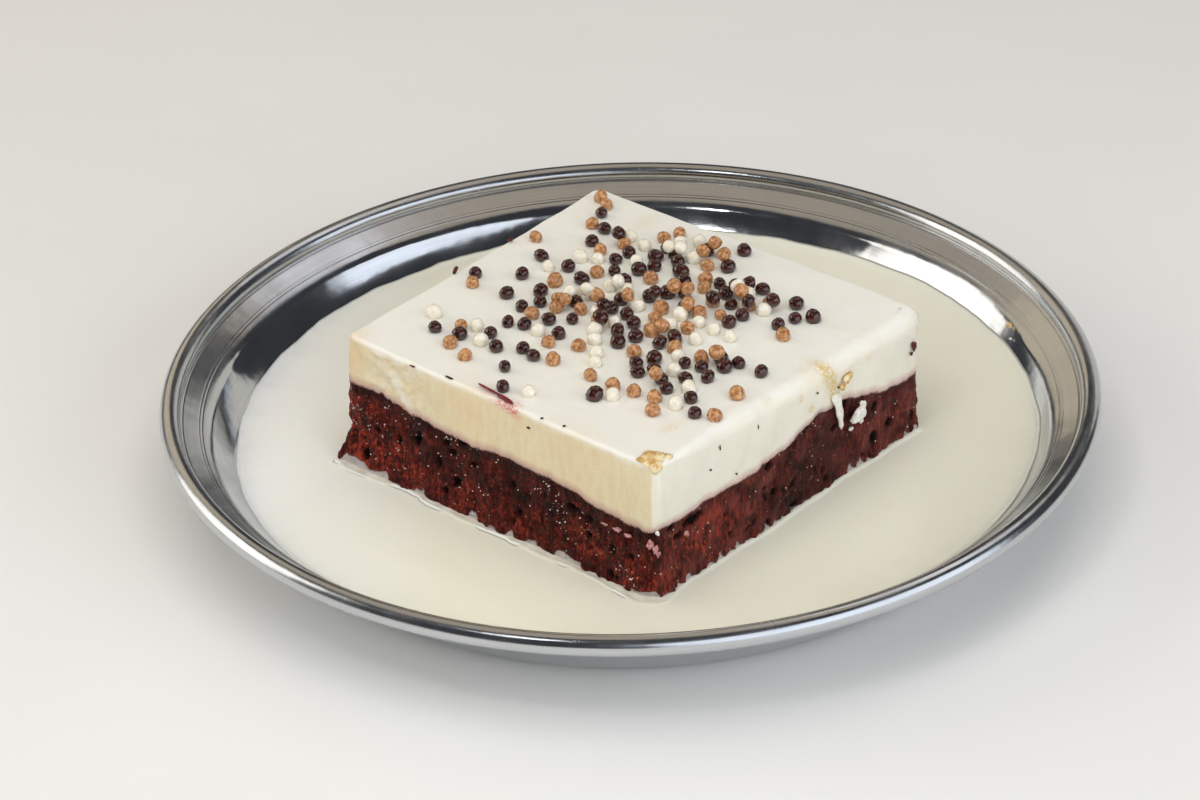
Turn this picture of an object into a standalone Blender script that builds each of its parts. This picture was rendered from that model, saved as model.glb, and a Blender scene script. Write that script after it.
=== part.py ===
"""Red velvet milk cake.

A square of red sponge under a thick layer of set cream stands in a pool of milk, in a shallow
steel plate with a rolled rim. Crisp chocolate pearls are scattered over the cream.

Metres, +Z up. The origin is the middle of the plate's underside. The cake's sides run along X and
Y. Its corners are called front (-X -Y), right (+X -Y), back (+X +Y) and left (-X +Y).
"""

import math
import random
from typing import NamedTuple

import bpy
import bmesh
from mathutils import Vector

MM = 0.001
GAP = 0.3 * MM
SHARP_ANGLE = math.radians(35.0)

# Plate, turned about Z
PLATE_RADIUS = 100.0 * MM
PLATE_HEIGHT = 22.0 * MM
PLATE_SIDES = 72
SHEET = 0.9 * MM
BEAD_RADIUS = 2.2 * MM
BEAD_START = math.radians(200.0)
BEAD_END = math.radians(-136.8)
BEAD_STEPS = 10
CREASE_RADIUS = 89.8 * MM
CREASE_HEIGHT = 15.8 * MM
WALL_SLOPE = math.radians(50.4)
COVE_RADIUS = 6.0 * MM
COVE_STEPS = 3
SCREW_MERGE = 0.01 * MM

MILK_LEVEL = 10.4 * MM

# The cake's middle, and half its width, on which its walls are moved in and out
CAKE_MIDDLE = (-6.0 * MM, -4.9 * MM)
CAKE_HALF = 43.5 * MM
CRISP_EDGE = 0.9 * MM
SOFT_EDGE = 3.2 * MM
SOFT_EDGE_START = -48.0 * MM
SOFT_EDGE_RUN = 22.0 * MM
SOFT_SIDE_POWER = 6


class Station(NamedTuple):
    """The cake's outline at one level: corners and fillets, front, right, back, left, and waves.

    Level 0 is the foot, 1 the seam under the cream and 2 the top. All sizes are in millimetres.
    """

    level: float
    corners: tuple
    fillets: tuple
    wave: float


STATIONS = (
    Station(0.0, ((-49.9, -49.6), (37.5, -49.4), (38.0, 41.8), (-50.8, 39.8)), (5.0, 1.6, 3.0, 2.0), 0.5),
    Station(0.3, ((-49.9, -49.6), (37.5, -49.4), (38.0, 41.8), (-50.8, 39.8)), (5.0, 1.6, 3.0, 2.0), 0.5),
    Station(0.6, ((-49.8, -49.6), (37.6, -49.3), (37.8, 41.6), (-48.3, 37.0)), (4.5, 1.6, 3.0, 2.0), 0.45),
    Station(1.0, ((-49.7, -49.6), (37.7, -49.2), (37.6, 41.3), (-48.1, 36.7)), (4.0, 2.2, 2.5, 2.0), 0.35),
    Station(1.2, ((-49.8, -49.9), (37.9, -49.4), (37.5, 41.1), (-48.0, 36.5)), (1.8, 3.0, 2.0, 1.5), 0.2),
    Station(2.0, ((-49.5, -50.0), (38.6, -49.6), (36.2, 40.0), (-47.6, 36.0)), (1.8, 4.0, 2.0, 1.5), 0.2),
)

# Heights of seam and top at the corners, in millimetres
SEAM_HEIGHTS = (27.3, 24.4, 27.0, 30.1)
TOP_HEIGHTS = (42.5, 39.3, 39.5, 41.0)


class Ripple(NamedTuple):
    """A low wave in a layer: its height in millimetres, then its rate in radians a metre and its
    start in radians, along X and along Y.
    """

    height: float
    rate_x: float
    start_x: float
    rate_y: float
    start_y: float


TOP_RIPPLE = Ripple(0.3, 70.0, 1.0, 60.0, 1.57)
SEAM_RIPPLE = Ripple(0.6, 160.0, 0.0, 130.0, 0.7)


class WallWave(NamedTuple):
    """One wave of the cut walls: its share, waves round the cake, turn for each level, and start."""

    share: float
    waves: float
    twist: float
    start: float


WALL_WAVES = (
    WallWave(0.6, 9.0, 2.0, 0.0),
    WallWave(0.4, 23.0, 5.0, 1.0),
)

# The sponge rises into the cream in one hump behind the -Y face
HUMP_HEIGHT = 4.2 * MM
HUMP_X = 7.0 * MM
HUMP_WIDTH = 16.0 * MM
HUMP_REACH = 24.0 * MM

ARC_STEPS = 2
SIDE_STEPS = 10
SPONGE_LEVELS = (0.0, 0.35, 0.5, 0.75, 1.0)
CREAM_LEVELS = (1.0, 1.2, 2.0)
EDGE_TURNS = (30.0, 60.0, 90.0)
SEAM_INSETS = (3.0 * MM, 10.0 * MM, 19.0 * MM, 31.0 * MM)
TOP_INSETS = (14.0 * MM, 29.0 * MM)

# Crisp pearls
PEARL_RADIUS = 1.6 * MM
PEARL_SPREAD = 0.09
PEARL_SINK = 0.6
PEARL_FACET = 1.08
PEARL_CLEAR = 1.1
PEARL_PRESS = 0.84
PEARL_STEEP = 0.4
PEARL_HEAP = 2.4
PEARL_LIMIT = 39.0 * MM
PEARL_TRIES = 80
PEARL_FLAT_TRIES = 26
PEARL_SEED = 7


class Clump(NamedTuple):
    """A heap of pearls: its middle and spread in millimetres, and how many it has."""

    x: float
    y: float
    spread: float
    count: int


CLUMPS = (
    Clump(17.1, 16.1, 3.0, 8),
    Clump(6.3, 12.3, 4.2, 10),
    Clump(12.1, 6.3, 3.0, 5),
    Clump(20.6, 6.9, 3.4, 9),
    Clump(24.9, 0.3, 2.8, 8),
    Clump(14.8, -7.1, 2.4, 5),
    Clump(-13.4, 9.6, 3.8, 15),
    Clump(-9.4, 2.9, 3.2, 9),
    Clump(-3.3, -0.8, 4.0, 15),
    Clump(-10.3, -10.4, 4.4, 12),
    Clump(3.7, -14.6, 4.6, 17),
    Clump(14.1, -19.9, 3.2, 11),
    Clump(-32.1, 14.5, 2.4, 7),
    Clump(-28.8, -0.4, 4.6, 8),
    Clump(-13.7, -22.2, 3.6, 10),
    Clump(-10.4, -33.1, 2.6, 5),
    Clump(-24.4, -32.7, 3.4, 8),
)

# Pearls that lie apart from the heaps, in millimetres
STRAYS = (
    (31.6, 35.1), (29.8, 31.8), (26.0, 30.0), (21.2, 28.3), (21.0, 24.7), (14.7, 22.8),
    (8.8, 33.8), (2.9, 26.8), (0.3, 22.5), (-5.9, 24.4), (-11.8, 32.6), (-15.4, 30.2),
    (-34.8, 22.9), (-30.3, 27.3), (-44.4, -4.9), (-42.7, -10.4), (-29.8, -15.8), (-35.5, -21.9),
    (-30.2, -22.0), (-33.2, -24.6), (21.2, -28.6), (16.1, -32.2), (18.9, -34.9), (11.7, -31.3),
    (8.8, -34.9), (-6.4, -35.6), (-6.3, -41.4), (-16.9, -43.7), (-28.7, -42.5), (-26.9, -46.3),
    (-33.2, -35.2), (-23.4, 12.7),
)


def clear_scene():
    """Remove every object that the scene holds."""
    for thing in list(bpy.data.objects):
        bpy.data.objects.remove(thing, do_unlink=True)


def new_collection(name):
    """Return an empty collection linked to the scene."""
    collection = bpy.data.collections.new(name)
    bpy.context.scene.collection.children.link(collection)
    return collection


def new_material(name, colour, roughness, metallic=0.0):
    """Return a Principled material of one colour, given as linear RGB."""
    material = bpy.data.materials.new(name)
    material.use_nodes = True
    shader = material.node_tree.nodes["Principled BSDF"]
    shader.inputs["Base Color"].default_value = (*colour, 1.0)
    shader.inputs["Roughness"].default_value = roughness
    shader.inputs["Metallic"].default_value = metallic
    return material


def new_object(name, mesh, collection, material=None):
    """Link a mesh as a smooth-shaded object and return the object."""
    mesh.shade_smooth()
    mesh.set_sharp_from_angle(angle=SHARP_ANGLE)
    thing = bpy.data.objects.new(name, mesh)
    if material:
        mesh.materials.append(material)
    collection.objects.link(thing)
    return thing


def mesh_from_bmesh(name, bm):
    """Write a bmesh into a new mesh and free it."""
    mesh = bpy.data.meshes.new(name)
    bm.to_mesh(mesh)
    bm.free()
    return mesh


def turned_object(name, profile, collection, material):
    """Turn a profile of (radius, height) points about Z with a Screw modifier."""
    bm = bmesh.new()
    points = [bm.verts.new((radius, 0.0, height)) for radius, height in profile]
    for start, end in zip(points, points[1:]):
        bm.edges.new((start, end))
    thing = new_object(name, mesh_from_bmesh(name, bm), collection, material)
    screw = thing.modifiers.new("Turn", "SCREW")
    screw.steps = PLATE_SIDES
    screw.render_steps = PLATE_SIDES
    screw.use_merge_vertices = True
    screw.merge_threshold = SCREW_MERGE
    screw.use_smooth_shade = True
    return thing


def inside_profile(offset, top=None):
    """Trace the plate's inside from the floor up the wall, moved into the plate by offset.

    A negative offset gives the outside. The trace stops at the height top, or at the crease
    under the bevel.
    """
    slope_foot = CREASE_HEIGHT - SHEET - COVE_RADIUS * (1.0 - math.cos(WALL_SLOPE))
    floor_radius = CREASE_RADIUS - slope_foot / math.tan(WALL_SLOPE) - COVE_RADIUS * math.sin(WALL_SLOPE)
    radius = COVE_RADIUS - offset
    points = [(0.0, SHEET + offset)]
    for step in range(COVE_STEPS + 1):
        angle = WALL_SLOPE * step / COVE_STEPS
        points.append((
            floor_radius + radius * math.sin(angle),
            SHEET + COVE_RADIUS - radius * math.cos(angle),
        ))
    if top is None:
        points.append(crease_point(offset))
    else:
        last_radius, last_height = points[-1]
        points.append((last_radius + (top - last_height) / math.tan(WALL_SLOPE), top))
    return points


def bead_point(angle):
    """Return the point of the rolled bead at an angle about the bead's middle."""
    return (
        PLATE_RADIUS - BEAD_RADIUS + BEAD_RADIUS * math.cos(angle),
        PLATE_HEIGHT - BEAD_RADIUS + BEAD_RADIUS * math.sin(angle),
    )


def crease_point(offset):
    """Return the corner between wall and bevel, moved along its mitre by offset."""
    start_radius, start_height = bead_point(BEAD_START)
    bevel_slope = math.atan2(start_height - CREASE_HEIGHT, start_radius - CREASE_RADIUS)
    wall_normal = (-math.sin(WALL_SLOPE), math.cos(WALL_SLOPE))
    bevel_normal = (-math.sin(bevel_slope), math.cos(bevel_slope))
    share = offset / (1.0 + math.cos(WALL_SLOPE - bevel_slope))
    return (
        CREASE_RADIUS + share * (wall_normal[0] + bevel_normal[0]),
        CREASE_HEIGHT + share * (wall_normal[1] + bevel_normal[1]),
    )


def build_plate(collection):
    """Turn the plate: floor, cove, wall, bevel, rolled bead and back underneath."""
    profile = inside_profile(0.0)
    for step in range(BEAD_STEPS + 1):
        profile.append(bead_point(BEAD_START + (BEAD_END - BEAD_START) * step / BEAD_STEPS))
    profile += reversed(inside_profile(-SHEET))
    steel = new_material("Pressed stainless steel", (0.56, 0.56, 0.54), 0.22, 1.0)
    return turned_object("plate", profile, collection, steel)


def blend(heights, x, y):
    """Return the height at x, y on the sheet stretched between four corner heights."""
    across = (x - CAKE_MIDDLE[0]) / CAKE_HALF * 0.5 + 0.5
    along = (y - CAKE_MIDDLE[1]) / CAKE_HALF * 0.5 + 0.5
    front, right, back, left = (height * MM for height in heights)
    near = front + (right - front) * across
    far = left + (back - left) * across
    return near + (far - near) * along


def ripple_height(ripple, x, y):
    """Return how far a ripple stands up at x, y."""
    along_x = math.sin(ripple.rate_x * x + ripple.start_x)
    along_y = math.sin(ripple.rate_y * y + ripple.start_y)
    return ripple.height * MM * along_x * along_y


def top_height(x, y):
    """Return the height of the cream's top face."""
    return blend(TOP_HEIGHTS, x, y) + ripple_height(TOP_RIPPLE, x, y)


def seam_height(x, y):
    """Return the height of the seam between sponge and cream."""
    depth = y - CAKE_MIDDLE[1] + CAKE_HALF
    hump = math.exp(-((x - HUMP_X) / HUMP_WIDTH) ** 2 - (depth / HUMP_REACH) ** 2)
    return blend(SEAM_HEIGHTS, x, y) + HUMP_HEIGHT * hump + ripple_height(SEAM_RIPPLE, x, y)


def station_at(level):
    """Return the cake's station at a level, drawn straight between those listed."""
    for low, high in zip(STATIONS, STATIONS[1:]):
        if level <= high.level:
            break
    share = (level - low.level) / (high.level - low.level)
    corners = tuple(Vector(a).lerp(Vector(b), share) for a, b in zip(low.corners, high.corners))
    fillets = tuple(a + (b - a) * share for a, b in zip(low.fillets, high.fillets))
    return Station(level, corners, fillets, low.wave + (high.wave - low.wave) * share)


def outline(level):
    """Return the cake's outline at a level, anticlockwise from the front corner's fillet."""
    station = station_at(level)
    corners = [corner * MM for corner in station.corners]
    points = []
    for index, corner in enumerate(corners):
        following = (index + 1) % 4
        fillet = station.fillets[index] * MM
        to_last = (corners[index - 1] - corner).normalized()
        to_next = (corners[following] - corner).normalized()
        middle = corner + (to_last + to_next) * fillet
        for step in range(ARC_STEPS + 1):
            angle = math.radians(90.0) * step / ARC_STEPS
            points.append(middle - (to_next * math.cos(angle) + to_last * math.sin(angle)) * fillet)
        start = corner + to_next * fillet
        end = corners[following] - to_next * station.fillets[following] * MM
        for step in range(1, SIDE_STEPS):
            points.append(start.lerp(end, step / SIDE_STEPS))
    return [
        moved_out(point, station.wave * MM * wall_wave(index, level))
        for index, point in enumerate(points)
    ]


def wall_wave(index, level):
    """Return how a wall stands out at a point of the outline, from -1 to 1."""
    turn = math.tau * index / (4 * (ARC_STEPS + SIDE_STEPS))
    return sum(
        wave.share * math.sin(wave.waves * turn + wave.twist * level + wave.start)
        for wave in WALL_WAVES
    )


def moved_out(point, distance):
    """Move an outline point away from the cake's middle, measured on the square."""
    middle = Vector(CAKE_MIDDLE)
    return middle + (point - middle) * (1.0 + distance / CAKE_HALF)


def join_rings(name, rings, floor_middle, roof_middle):
    """Skin the rings from bottom to top and close both ends round a middle point.

    The shorter diagonal splits each face, so that two sheets with the same plan stay parallel.
    """
    bm = bmesh.new()
    loops = [[bm.verts.new(point) for point in ring] for ring in rings]
    count = len(loops[0])
    for low, high in zip(loops, loops[1:]):
        for index in range(count):
            after = (index + 1) % count
            bm.faces.new((low[index], low[after], high[after], high[index]))
    bottom = bm.verts.new(floor_middle)
    top = bm.verts.new(roof_middle)
    for index in range(count):
        after = (index + 1) % count
        bm.faces.new((loops[0][after], loops[0][index], bottom))
        bm.faces.new((loops[-1][index], loops[-1][after], top))
    bmesh.ops.triangulate(bm, faces=bm.faces, quad_method="SHORT_EDGE")
    return mesh_from_bmesh(name, bm)


def sponge_ring(level, margin=0.0):
    """Return the sponge's wall at a level from 0 to 1, moved out by a margin."""
    foot = SHEET + GAP
    ring = []
    for point in outline(level):
        place = moved_out(point, margin)
        ring.append((*place, foot + (seam_height(*point) - GAP - foot) * level))
    return ring


def cap_rings(ring, insets, height):
    """Return smaller and smaller copies of the outermost ring, at heights given by a function."""
    rings = []
    for inset in insets:
        places = [moved_out(Vector(point[:2]), -inset) for point in ring]
        rings.append([(*place, height(*place)) for place in places])
    return rings


def build_sponge(collection):
    """Loft the sponge from the plate's floor to the seam."""
    rings = [sponge_ring(level) for level in SPONGE_LEVELS]
    rings += cap_rings(rings[-1], SEAM_INSETS, lambda x, y: seam_height(x, y) - GAP)
    foot = (*CAKE_MIDDLE, SHEET + GAP)
    roof = (*CAKE_MIDDLE, seam_height(*CAKE_MIDDLE) - GAP)
    crumb = new_material("Red velvet sponge", (0.090, 0.022, 0.015), 0.75)
    return new_object("sponge", join_rings("sponge", rings, foot, roof), collection, crumb)


def build_milk(collection, cutters):
    """Turn the pool of milk and cut it round the sponge's foot."""
    milk = new_material("Sweet milk", (0.76, 0.73, 0.63), 0.18)
    profile = [(0.0, MILK_LEVEL)]
    profile += reversed(inside_profile(GAP, MILK_LEVEL))
    pool = turned_object("milk", profile, collection, milk)

    rings = [sponge_ring(level, GAP) for level in SPONGE_LEVELS]
    rings.insert(0, [(x, y, -SHEET) for x, y, _ in rings[0]])
    foot = (*CAKE_MIDDLE, -SHEET)
    roof = (*CAKE_MIDDLE, rings[-1][0][2])
    mesh = join_rings("sponge_foot_cutter", rings, foot, roof)
    cutter = new_object("sponge_foot_cutter", mesh, cutters)
    cutter.hide_render = True
    cutter.display_type = "WIRE"
    cut = pool.modifiers.new("Cut round the sponge", "BOOLEAN")
    cut.operation = "DIFFERENCE"
    cut.object = cutter
    return pool


def edge_radius(point):
    """Return the rounding of the cream's top edge.

    It is crisp, but on the -Y face it softens from the front corner towards the right one.
    """
    off = point - Vector(CAKE_MIDDLE)
    towards_minus_y = max(0.0, -off.y / max(abs(off.x), abs(off.y)))
    along = min(1.0, max(0.0, (point.x - SOFT_EDGE_START) / SOFT_EDGE_RUN))
    return CRISP_EDGE + (SOFT_EDGE - CRISP_EDGE) * along * towards_minus_y ** SOFT_SIDE_POWER


def cream_ring(level, turn=0.0):
    """Return one ring of the cream: up the wall by level, then round the edge by turn, in degrees."""
    ring = []
    for point in outline(level):
        rounding = edge_radius(point)
        place = moved_out(point, -rounding * (1.0 - math.cos(math.radians(turn))))
        floor = seam_height(*place)
        shoulder = top_height(*place) - rounding
        height = floor + (shoulder - floor) * (level - 1.0) + rounding * math.sin(math.radians(turn))
        ring.append((*place, height))
    return ring


def scatter_pearls():
    """Place the pearls and return each one's middle and radius.

    A pearl is drawn near its heap's middle. It lies on the cream where no other is near, and once
    that fails often it rests on those below it, a little pressed in.
    """
    draw = random.Random(PEARL_SEED)
    pearls = []

    def drawn_radius():
        return PEARL_RADIUS * (1.0 + PEARL_SPREAD * draw.uniform(-1.0, 1.0))

    for x, y in STRAYS:
        radius = drawn_radius()
        height = top_height(x * MM, y * MM) + PEARL_SINK * radius
        pearls.append((Vector((x * MM, y * MM, height)), radius))
    for clump in CLUMPS:
        for _ in range(clump.count):
            radius = drawn_radius()
            for attempt in range(PEARL_TRIES):
                x = draw.gauss(clump.x, clump.spread) * MM
                y = draw.gauss(clump.y, clump.spread) * MM
                height = resting_height(pearls, x, y, radius, attempt > PEARL_FLAT_TRIES)
                inside = max(abs(x - CAKE_MIDDLE[0]), abs(y - CAKE_MIDDLE[1])) < PEARL_LIMIT
                if inside and height is not None:
                    pearls.append((Vector((x, y, height)), radius))
                    break
    return pearls


def resting_height(pearls, x, y, radius, may_stack):
    """Return the height at which a pearl rests at x, y, or None where it has no room."""
    on_cream = top_height(x, y) + PEARL_SINK * radius
    height = on_cream
    crowded = False
    for middle, other in pearls:
        apart = math.hypot(x - middle.x, y - middle.y)
        reach = radius + other
        if apart > PEARL_CLEAR * reach:
            continue
        crowded = True
        if apart < PEARL_STEEP * reach:
            return None
        pressed = PEARL_PRESS * reach
        if apart < pressed:
            height = max(height, middle.z + math.sqrt(pressed ** 2 - apart ** 2))
    if not crowded:
        return on_cream
    lifted = height - on_cream
    if may_stack and radius < lifted < PEARL_HEAP * radius:
        return height
    return None


def fuse_pearls(cream):
    """Join the pearls to the cream with one union on their collection, and remove them."""
    pearls = new_collection("pearls")
    ball = bmesh.new()
    bmesh.ops.create_icosphere(ball, subdivisions=1, radius=1.0)
    unit = mesh_from_bmesh("pearl", ball)
    for index, (middle, radius) in enumerate(scatter_pearls()):
        mesh = unit.copy()
        for vertex in mesh.vertices:
            vertex.co = vertex.co * radius * PEARL_FACET
        pearl = bpy.data.objects.new(f"pearl_{index:03d}", mesh)
        pearl.location = middle
        pearls.objects.link(pearl)
    union = cream.modifiers.new("Pearls", "BOOLEAN")
    union.operation = "UNION"
    union.operand_type = "COLLECTION"
    union.collection = pearls
    bpy.context.view_layer.update()
    evaluated = cream.evaluated_get(bpy.context.evaluated_depsgraph_get())
    fused = bpy.data.meshes.new_from_object(evaluated)
    cream.modifiers.remove(union)
    cream.data = fused
    for pearl in list(pearls.objects):
        bpy.data.objects.remove(pearl, do_unlink=True)
    bpy.data.collections.remove(pearls)


def build_cream(collection):
    """Loft the cream layer and fuse the pearls to its top."""
    rings = [cream_ring(level) for level in CREAM_LEVELS]
    rings += [cream_ring(2.0, turn) for turn in EDGE_TURNS]
    rings = cap_rings(rings[0], SEAM_INSETS, seam_height)[::-1] + rings
    rings += cap_rings(rings[-1], TOP_INSETS, top_height)
    foot = (*CAKE_MIDDLE, seam_height(*CAKE_MIDDLE))
    roof = (*CAKE_MIDDLE, top_height(*CAKE_MIDDLE))
    white = new_material("Set cream", (0.82, 0.79, 0.68), 0.5)
    cream = new_object("cream", join_rings("cream", rings, foot, roof), collection, white)
    fuse_pearls(cream)
    return cream


def main():
    """Build the plate, the milk and the two layers of the cake."""
    clear_scene()
    dish = new_collection("red_velvet_milk_cake")
    cutters = new_collection("cutters")
    build_plate(dish)
    build_milk(dish, cutters)
    build_sponge(dish)
    build_cream(dish)


if __name__ == "__main__":
    main()
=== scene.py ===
"""Looks of the red velvet milk cake: a portion in its pool of milk, in a pressed steel plate.

Metres, +Z up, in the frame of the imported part. The cake's corners are called front (-X -Y),
right (+X -Y), back (+X +Y) and left (-X +Y), as in the part's own source.
"""

import logging
import math
import random
from dataclasses import dataclass, field
from enum import Enum
from functools import partial
from typing import Callable

import bmesh
import bpy
import numpy as np
from mathutils import Matrix, Vector


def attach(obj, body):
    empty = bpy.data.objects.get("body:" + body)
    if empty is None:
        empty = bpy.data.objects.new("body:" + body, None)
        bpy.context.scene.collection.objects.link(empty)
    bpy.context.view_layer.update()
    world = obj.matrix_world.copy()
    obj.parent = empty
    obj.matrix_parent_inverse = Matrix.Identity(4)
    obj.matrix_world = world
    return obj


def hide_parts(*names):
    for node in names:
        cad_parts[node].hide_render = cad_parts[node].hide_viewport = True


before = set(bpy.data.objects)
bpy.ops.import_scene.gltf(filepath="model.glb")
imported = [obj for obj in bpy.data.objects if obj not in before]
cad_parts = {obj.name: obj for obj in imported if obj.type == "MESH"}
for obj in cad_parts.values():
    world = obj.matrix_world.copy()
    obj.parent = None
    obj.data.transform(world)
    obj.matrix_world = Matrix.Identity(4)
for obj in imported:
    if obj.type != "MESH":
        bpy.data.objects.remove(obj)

LOG = logging.getLogger("milk_cake")
MM = 0.001
BODY = "root"
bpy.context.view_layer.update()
HASH_AXES = (73856093, 19349663, 83492791)
HASH_SEED = 97531
HASH_ROUNDS = ((13, 1274126177), (16, 2246822519))
HASH_BITS = 0xFFFFFFFF
HASH_HALF = 0x7FFFFFFF
FOOT_CORNERS = ((-49.9, -49.6), (37.5, -49.4), (38.0, 41.8), (-50.8, 39.8))


def linear(code: str, alpha: float = 1.0) -> tuple:
    """Turn an sRGB hex colour into linear RGBA.

    Args:
        code: Six hex digits.
        alpha: The fourth value.

    Returns:
        Linear red, green and blue, and alpha.
    """
    parts = [int(code[start:start + 2], 16) / 255.0 for start in (0, 2, 4)]
    return (*(p / 12.92 if p <= 0.04045 else ((p + 0.055) / 1.055) ** 2.4 for p in parts), alpha)


def per_size(size_mm: float) -> float:
    """Return the texture scale at which one cell of a pattern is this many millimetres wide."""
    return 1.0 / (size_mm * MM)


def fill(tree, node, values: dict) -> None:
    """Set a node's properties and sockets, and link its sources.

    Args:
        tree: The node tree.
        node: The node.
        values: Settings by property name, and values or source sockets by socket name or number.
    """
    for key, value in values.items():
        if isinstance(value, bpy.types.NodeSocket):
            tree.links.new(value, node.inputs[key])
        elif isinstance(key, str) and hasattr(node, key):
            setattr(node, key, value)
        else:
            node.inputs[key].default_value = value


def add_node(tree, kind: str, values: dict | None = None, output: int | str = 0):
    """Add a node with its settings and links.

    Args:
        tree: The node tree.
        kind: The node's class name after ShaderNode.
        values: What fill sets and links.
        output: Name or number of the output to return.

    Returns:
        One of the new node's outputs.
    """
    node = tree.nodes.new("ShaderNode" + kind)
    fill(tree, node, values or {})
    return node.outputs[output]


def rough_noise(points: np.ndarray, size: float, octaves: int, seed: int) -> np.ndarray:
    """Return a smooth random field from -1 to 1, summed over octaves.

    Random values stand on a cubic lattice, and each point takes the eased blend of the eight
    values round it. Each octave has half the cell size and half the height of the one before.

    Args:
        points: Array of positions, (..., 3).
        size: Cell size in metres.
        octaves: How many fields are summed.
        seed: Picks the field.

    Returns:
        One value for each point.
    """
    total = np.zeros(points.shape[:-1])
    for octave in range(octaves):
        cell = points / (size / 2 ** octave)
        base = np.floor(cell).astype(np.int64)
        part = cell - base
        ease = part * part * (3.0 - 2.0 * part)
        for corner in np.ndindex(2, 2, 2):
            keys = (base + np.array(corner)) * np.array(HASH_AXES)
            mixed = keys[..., 0] ^ keys[..., 1] ^ keys[..., 2] ^ (seed + octave) * HASH_SEED
            for shift, factor in HASH_ROUNDS:
                mixed = (mixed ^ (mixed >> shift)) * factor & HASH_BITS
            value = (mixed ^ (mixed >> 15)) / HASH_HALF - 1.0
            total += np.prod(np.where(corner, ease, 1.0 - ease), axis=-1) * value / 2 ** octave
    return total


@dataclass(frozen=True)
class Rough:
    """A noise: its height in millimetres or as a share, its cell in millimetres, octaves and seed."""

    height: float
    size: float
    octaves: int
    seed: int

    def over(self, points: np.ndarray) -> np.ndarray:
        """Return the noise at each point, in the unit of its height."""
        return self.height * rough_noise(points, self.size * MM, self.octaves, self.seed)


def smooth_step(low: float, high: float, values: np.ndarray) -> np.ndarray:
    """Return 0 below low, 1 above high and a smooth rise between."""
    share = np.clip((values - low) / (high - low), 0.0, 1.0)
    return share * share * (3.0 - 2.0 * share)


def bell(values: np.ndarray, middle: float, width: float) -> np.ndarray:
    """Return e to minus the squared distance from the middle over the width."""
    return np.exp(-((values - middle) / width) ** 2)


def blobs(points: np.ndarray, rows: tuple) -> np.ndarray:
    """Return the sum of soft blobs: strength times e to minus the squared distance over spread.

    Args:
        points: Positions in millimetres, (count, 3).
        rows: Each blob's middle and spreads along X, Y and Z, in millimetres, and strength.
    """
    table = np.array(rows)
    return sum(row[6] * np.exp(-(((points - row[:3]) / row[3:6]) ** 2).sum(-1)) for row in table)


def unit(vectors: np.ndarray) -> np.ndarray:
    """Return the vectors of the last axis at length 1."""
    return vectors / np.linalg.norm(vectors, axis=-1, keepdims=True)


def level_points(plan: np.ndarray, height=0.0) -> np.ndarray:
    """Return points at these places in plan, all at one height or each at its own."""
    heights = np.broadcast_to(height, plan.shape[:-1])
    return np.concatenate([plan, heights[..., None]], -1)


def grid_quads(rows: int, columns: int) -> np.ndarray:
    """Return the quads of a grid of closed rows, whose point number is row * columns + column.

    They face right of travel along a row, seen with rows going up.
    """
    row, column = np.meshgrid(np.arange(rows - 1), np.arange(columns), indexing="ij")
    low, after = row * columns, (column + 1) % columns
    quads = [low + column, low + after, low + columns + after, low + columns + column]
    return np.stack(quads, -1).reshape(-1, 4)


def bridge(low: np.ndarray, high: np.ndarray) -> np.ndarray:
    """Return the quads between two closed rings of point numbers."""
    return np.stack([low, np.roll(low, -1), np.roll(high, -1), high], -1)


def fan(ring: np.ndarray, middle: int) -> np.ndarray:
    """Return the triangles that join a closed ring of point numbers to a middle point."""
    return np.stack([ring, np.roll(ring, -1), np.full_like(ring, middle)], -1)


def repeated(faces: np.ndarray, points: int, count: int) -> np.ndarray:
    """Return the triangles of many copies of a shape that has this many points."""
    return (faces[None] + (np.arange(count) * points)[:, None, None]).reshape(-1, 3)


def new_piece(name: str, points: np.ndarray, faces: list, material, marks: dict | None = None,
              rides: bool = True) -> bpy.types.Object:
    """Make a smooth-shaded piece.

    Args:
        name: The piece's name.
        points: Positions, (count, 3).
        faces: Arrays of quads and triangles, as point numbers.
        material: The piece's material.
        marks: Arrays of one number for each point, by attribute name.
        rides: Whether it rides on the dish's body.

    Returns:
        The new object.
    """
    mesh = bpy.data.meshes.new(name)
    mesh.from_pydata(points.tolist(), [], [face for part in faces for face in part.tolist()])
    mesh.shade_smooth()
    for mark, values in (marks or {}).items():
        store = mesh.attributes.new(mark, "FLOAT", "POINT")
        store.data.foreach_set("value", np.asarray(values, np.float32).ravel())
    mesh.materials.append(material)
    thing = bpy.data.objects.new(name, mesh)
    bpy.context.scene.collection.objects.link(thing)
    if rides:
        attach(thing, BODY)
    return thing


def read_points(thing) -> tuple[np.ndarray, np.ndarray]:
    """Return the points and the normals of a piece's mesh."""
    count = len(thing.data.vertices)
    points, normals = np.empty(count * 3), np.empty(count * 3)
    thing.data.vertices.foreach_get("co", points)
    thing.data.vertices.foreach_get("normal", normals)
    return points.reshape(-1, 3), normals.reshape(-1, 3)


def push_out(thing, amounts: np.ndarray) -> None:
    """Move each point of a piece's mesh along its normal by its own amount."""
    points, normals = read_points(thing)
    points += normals * amounts[:, None]
    thing.data.vertices.foreach_set("co", points.ravel())
    thing.data.update()


def unit_ball(divisions: int) -> tuple[np.ndarray, np.ndarray]:
    """Return the points and the triangles of an icosphere of radius 1."""
    ball = bmesh.new()
    bmesh.ops.create_icosphere(ball, subdivisions=divisions, radius=1.0)
    ball.verts.ensure_lookup_table()
    points = np.array([vertex.co for vertex in ball.verts])
    faces = np.array([[vertex.index for vertex in face.verts] for face in ball.faces])
    ball.free()
    return points, faces


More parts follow.
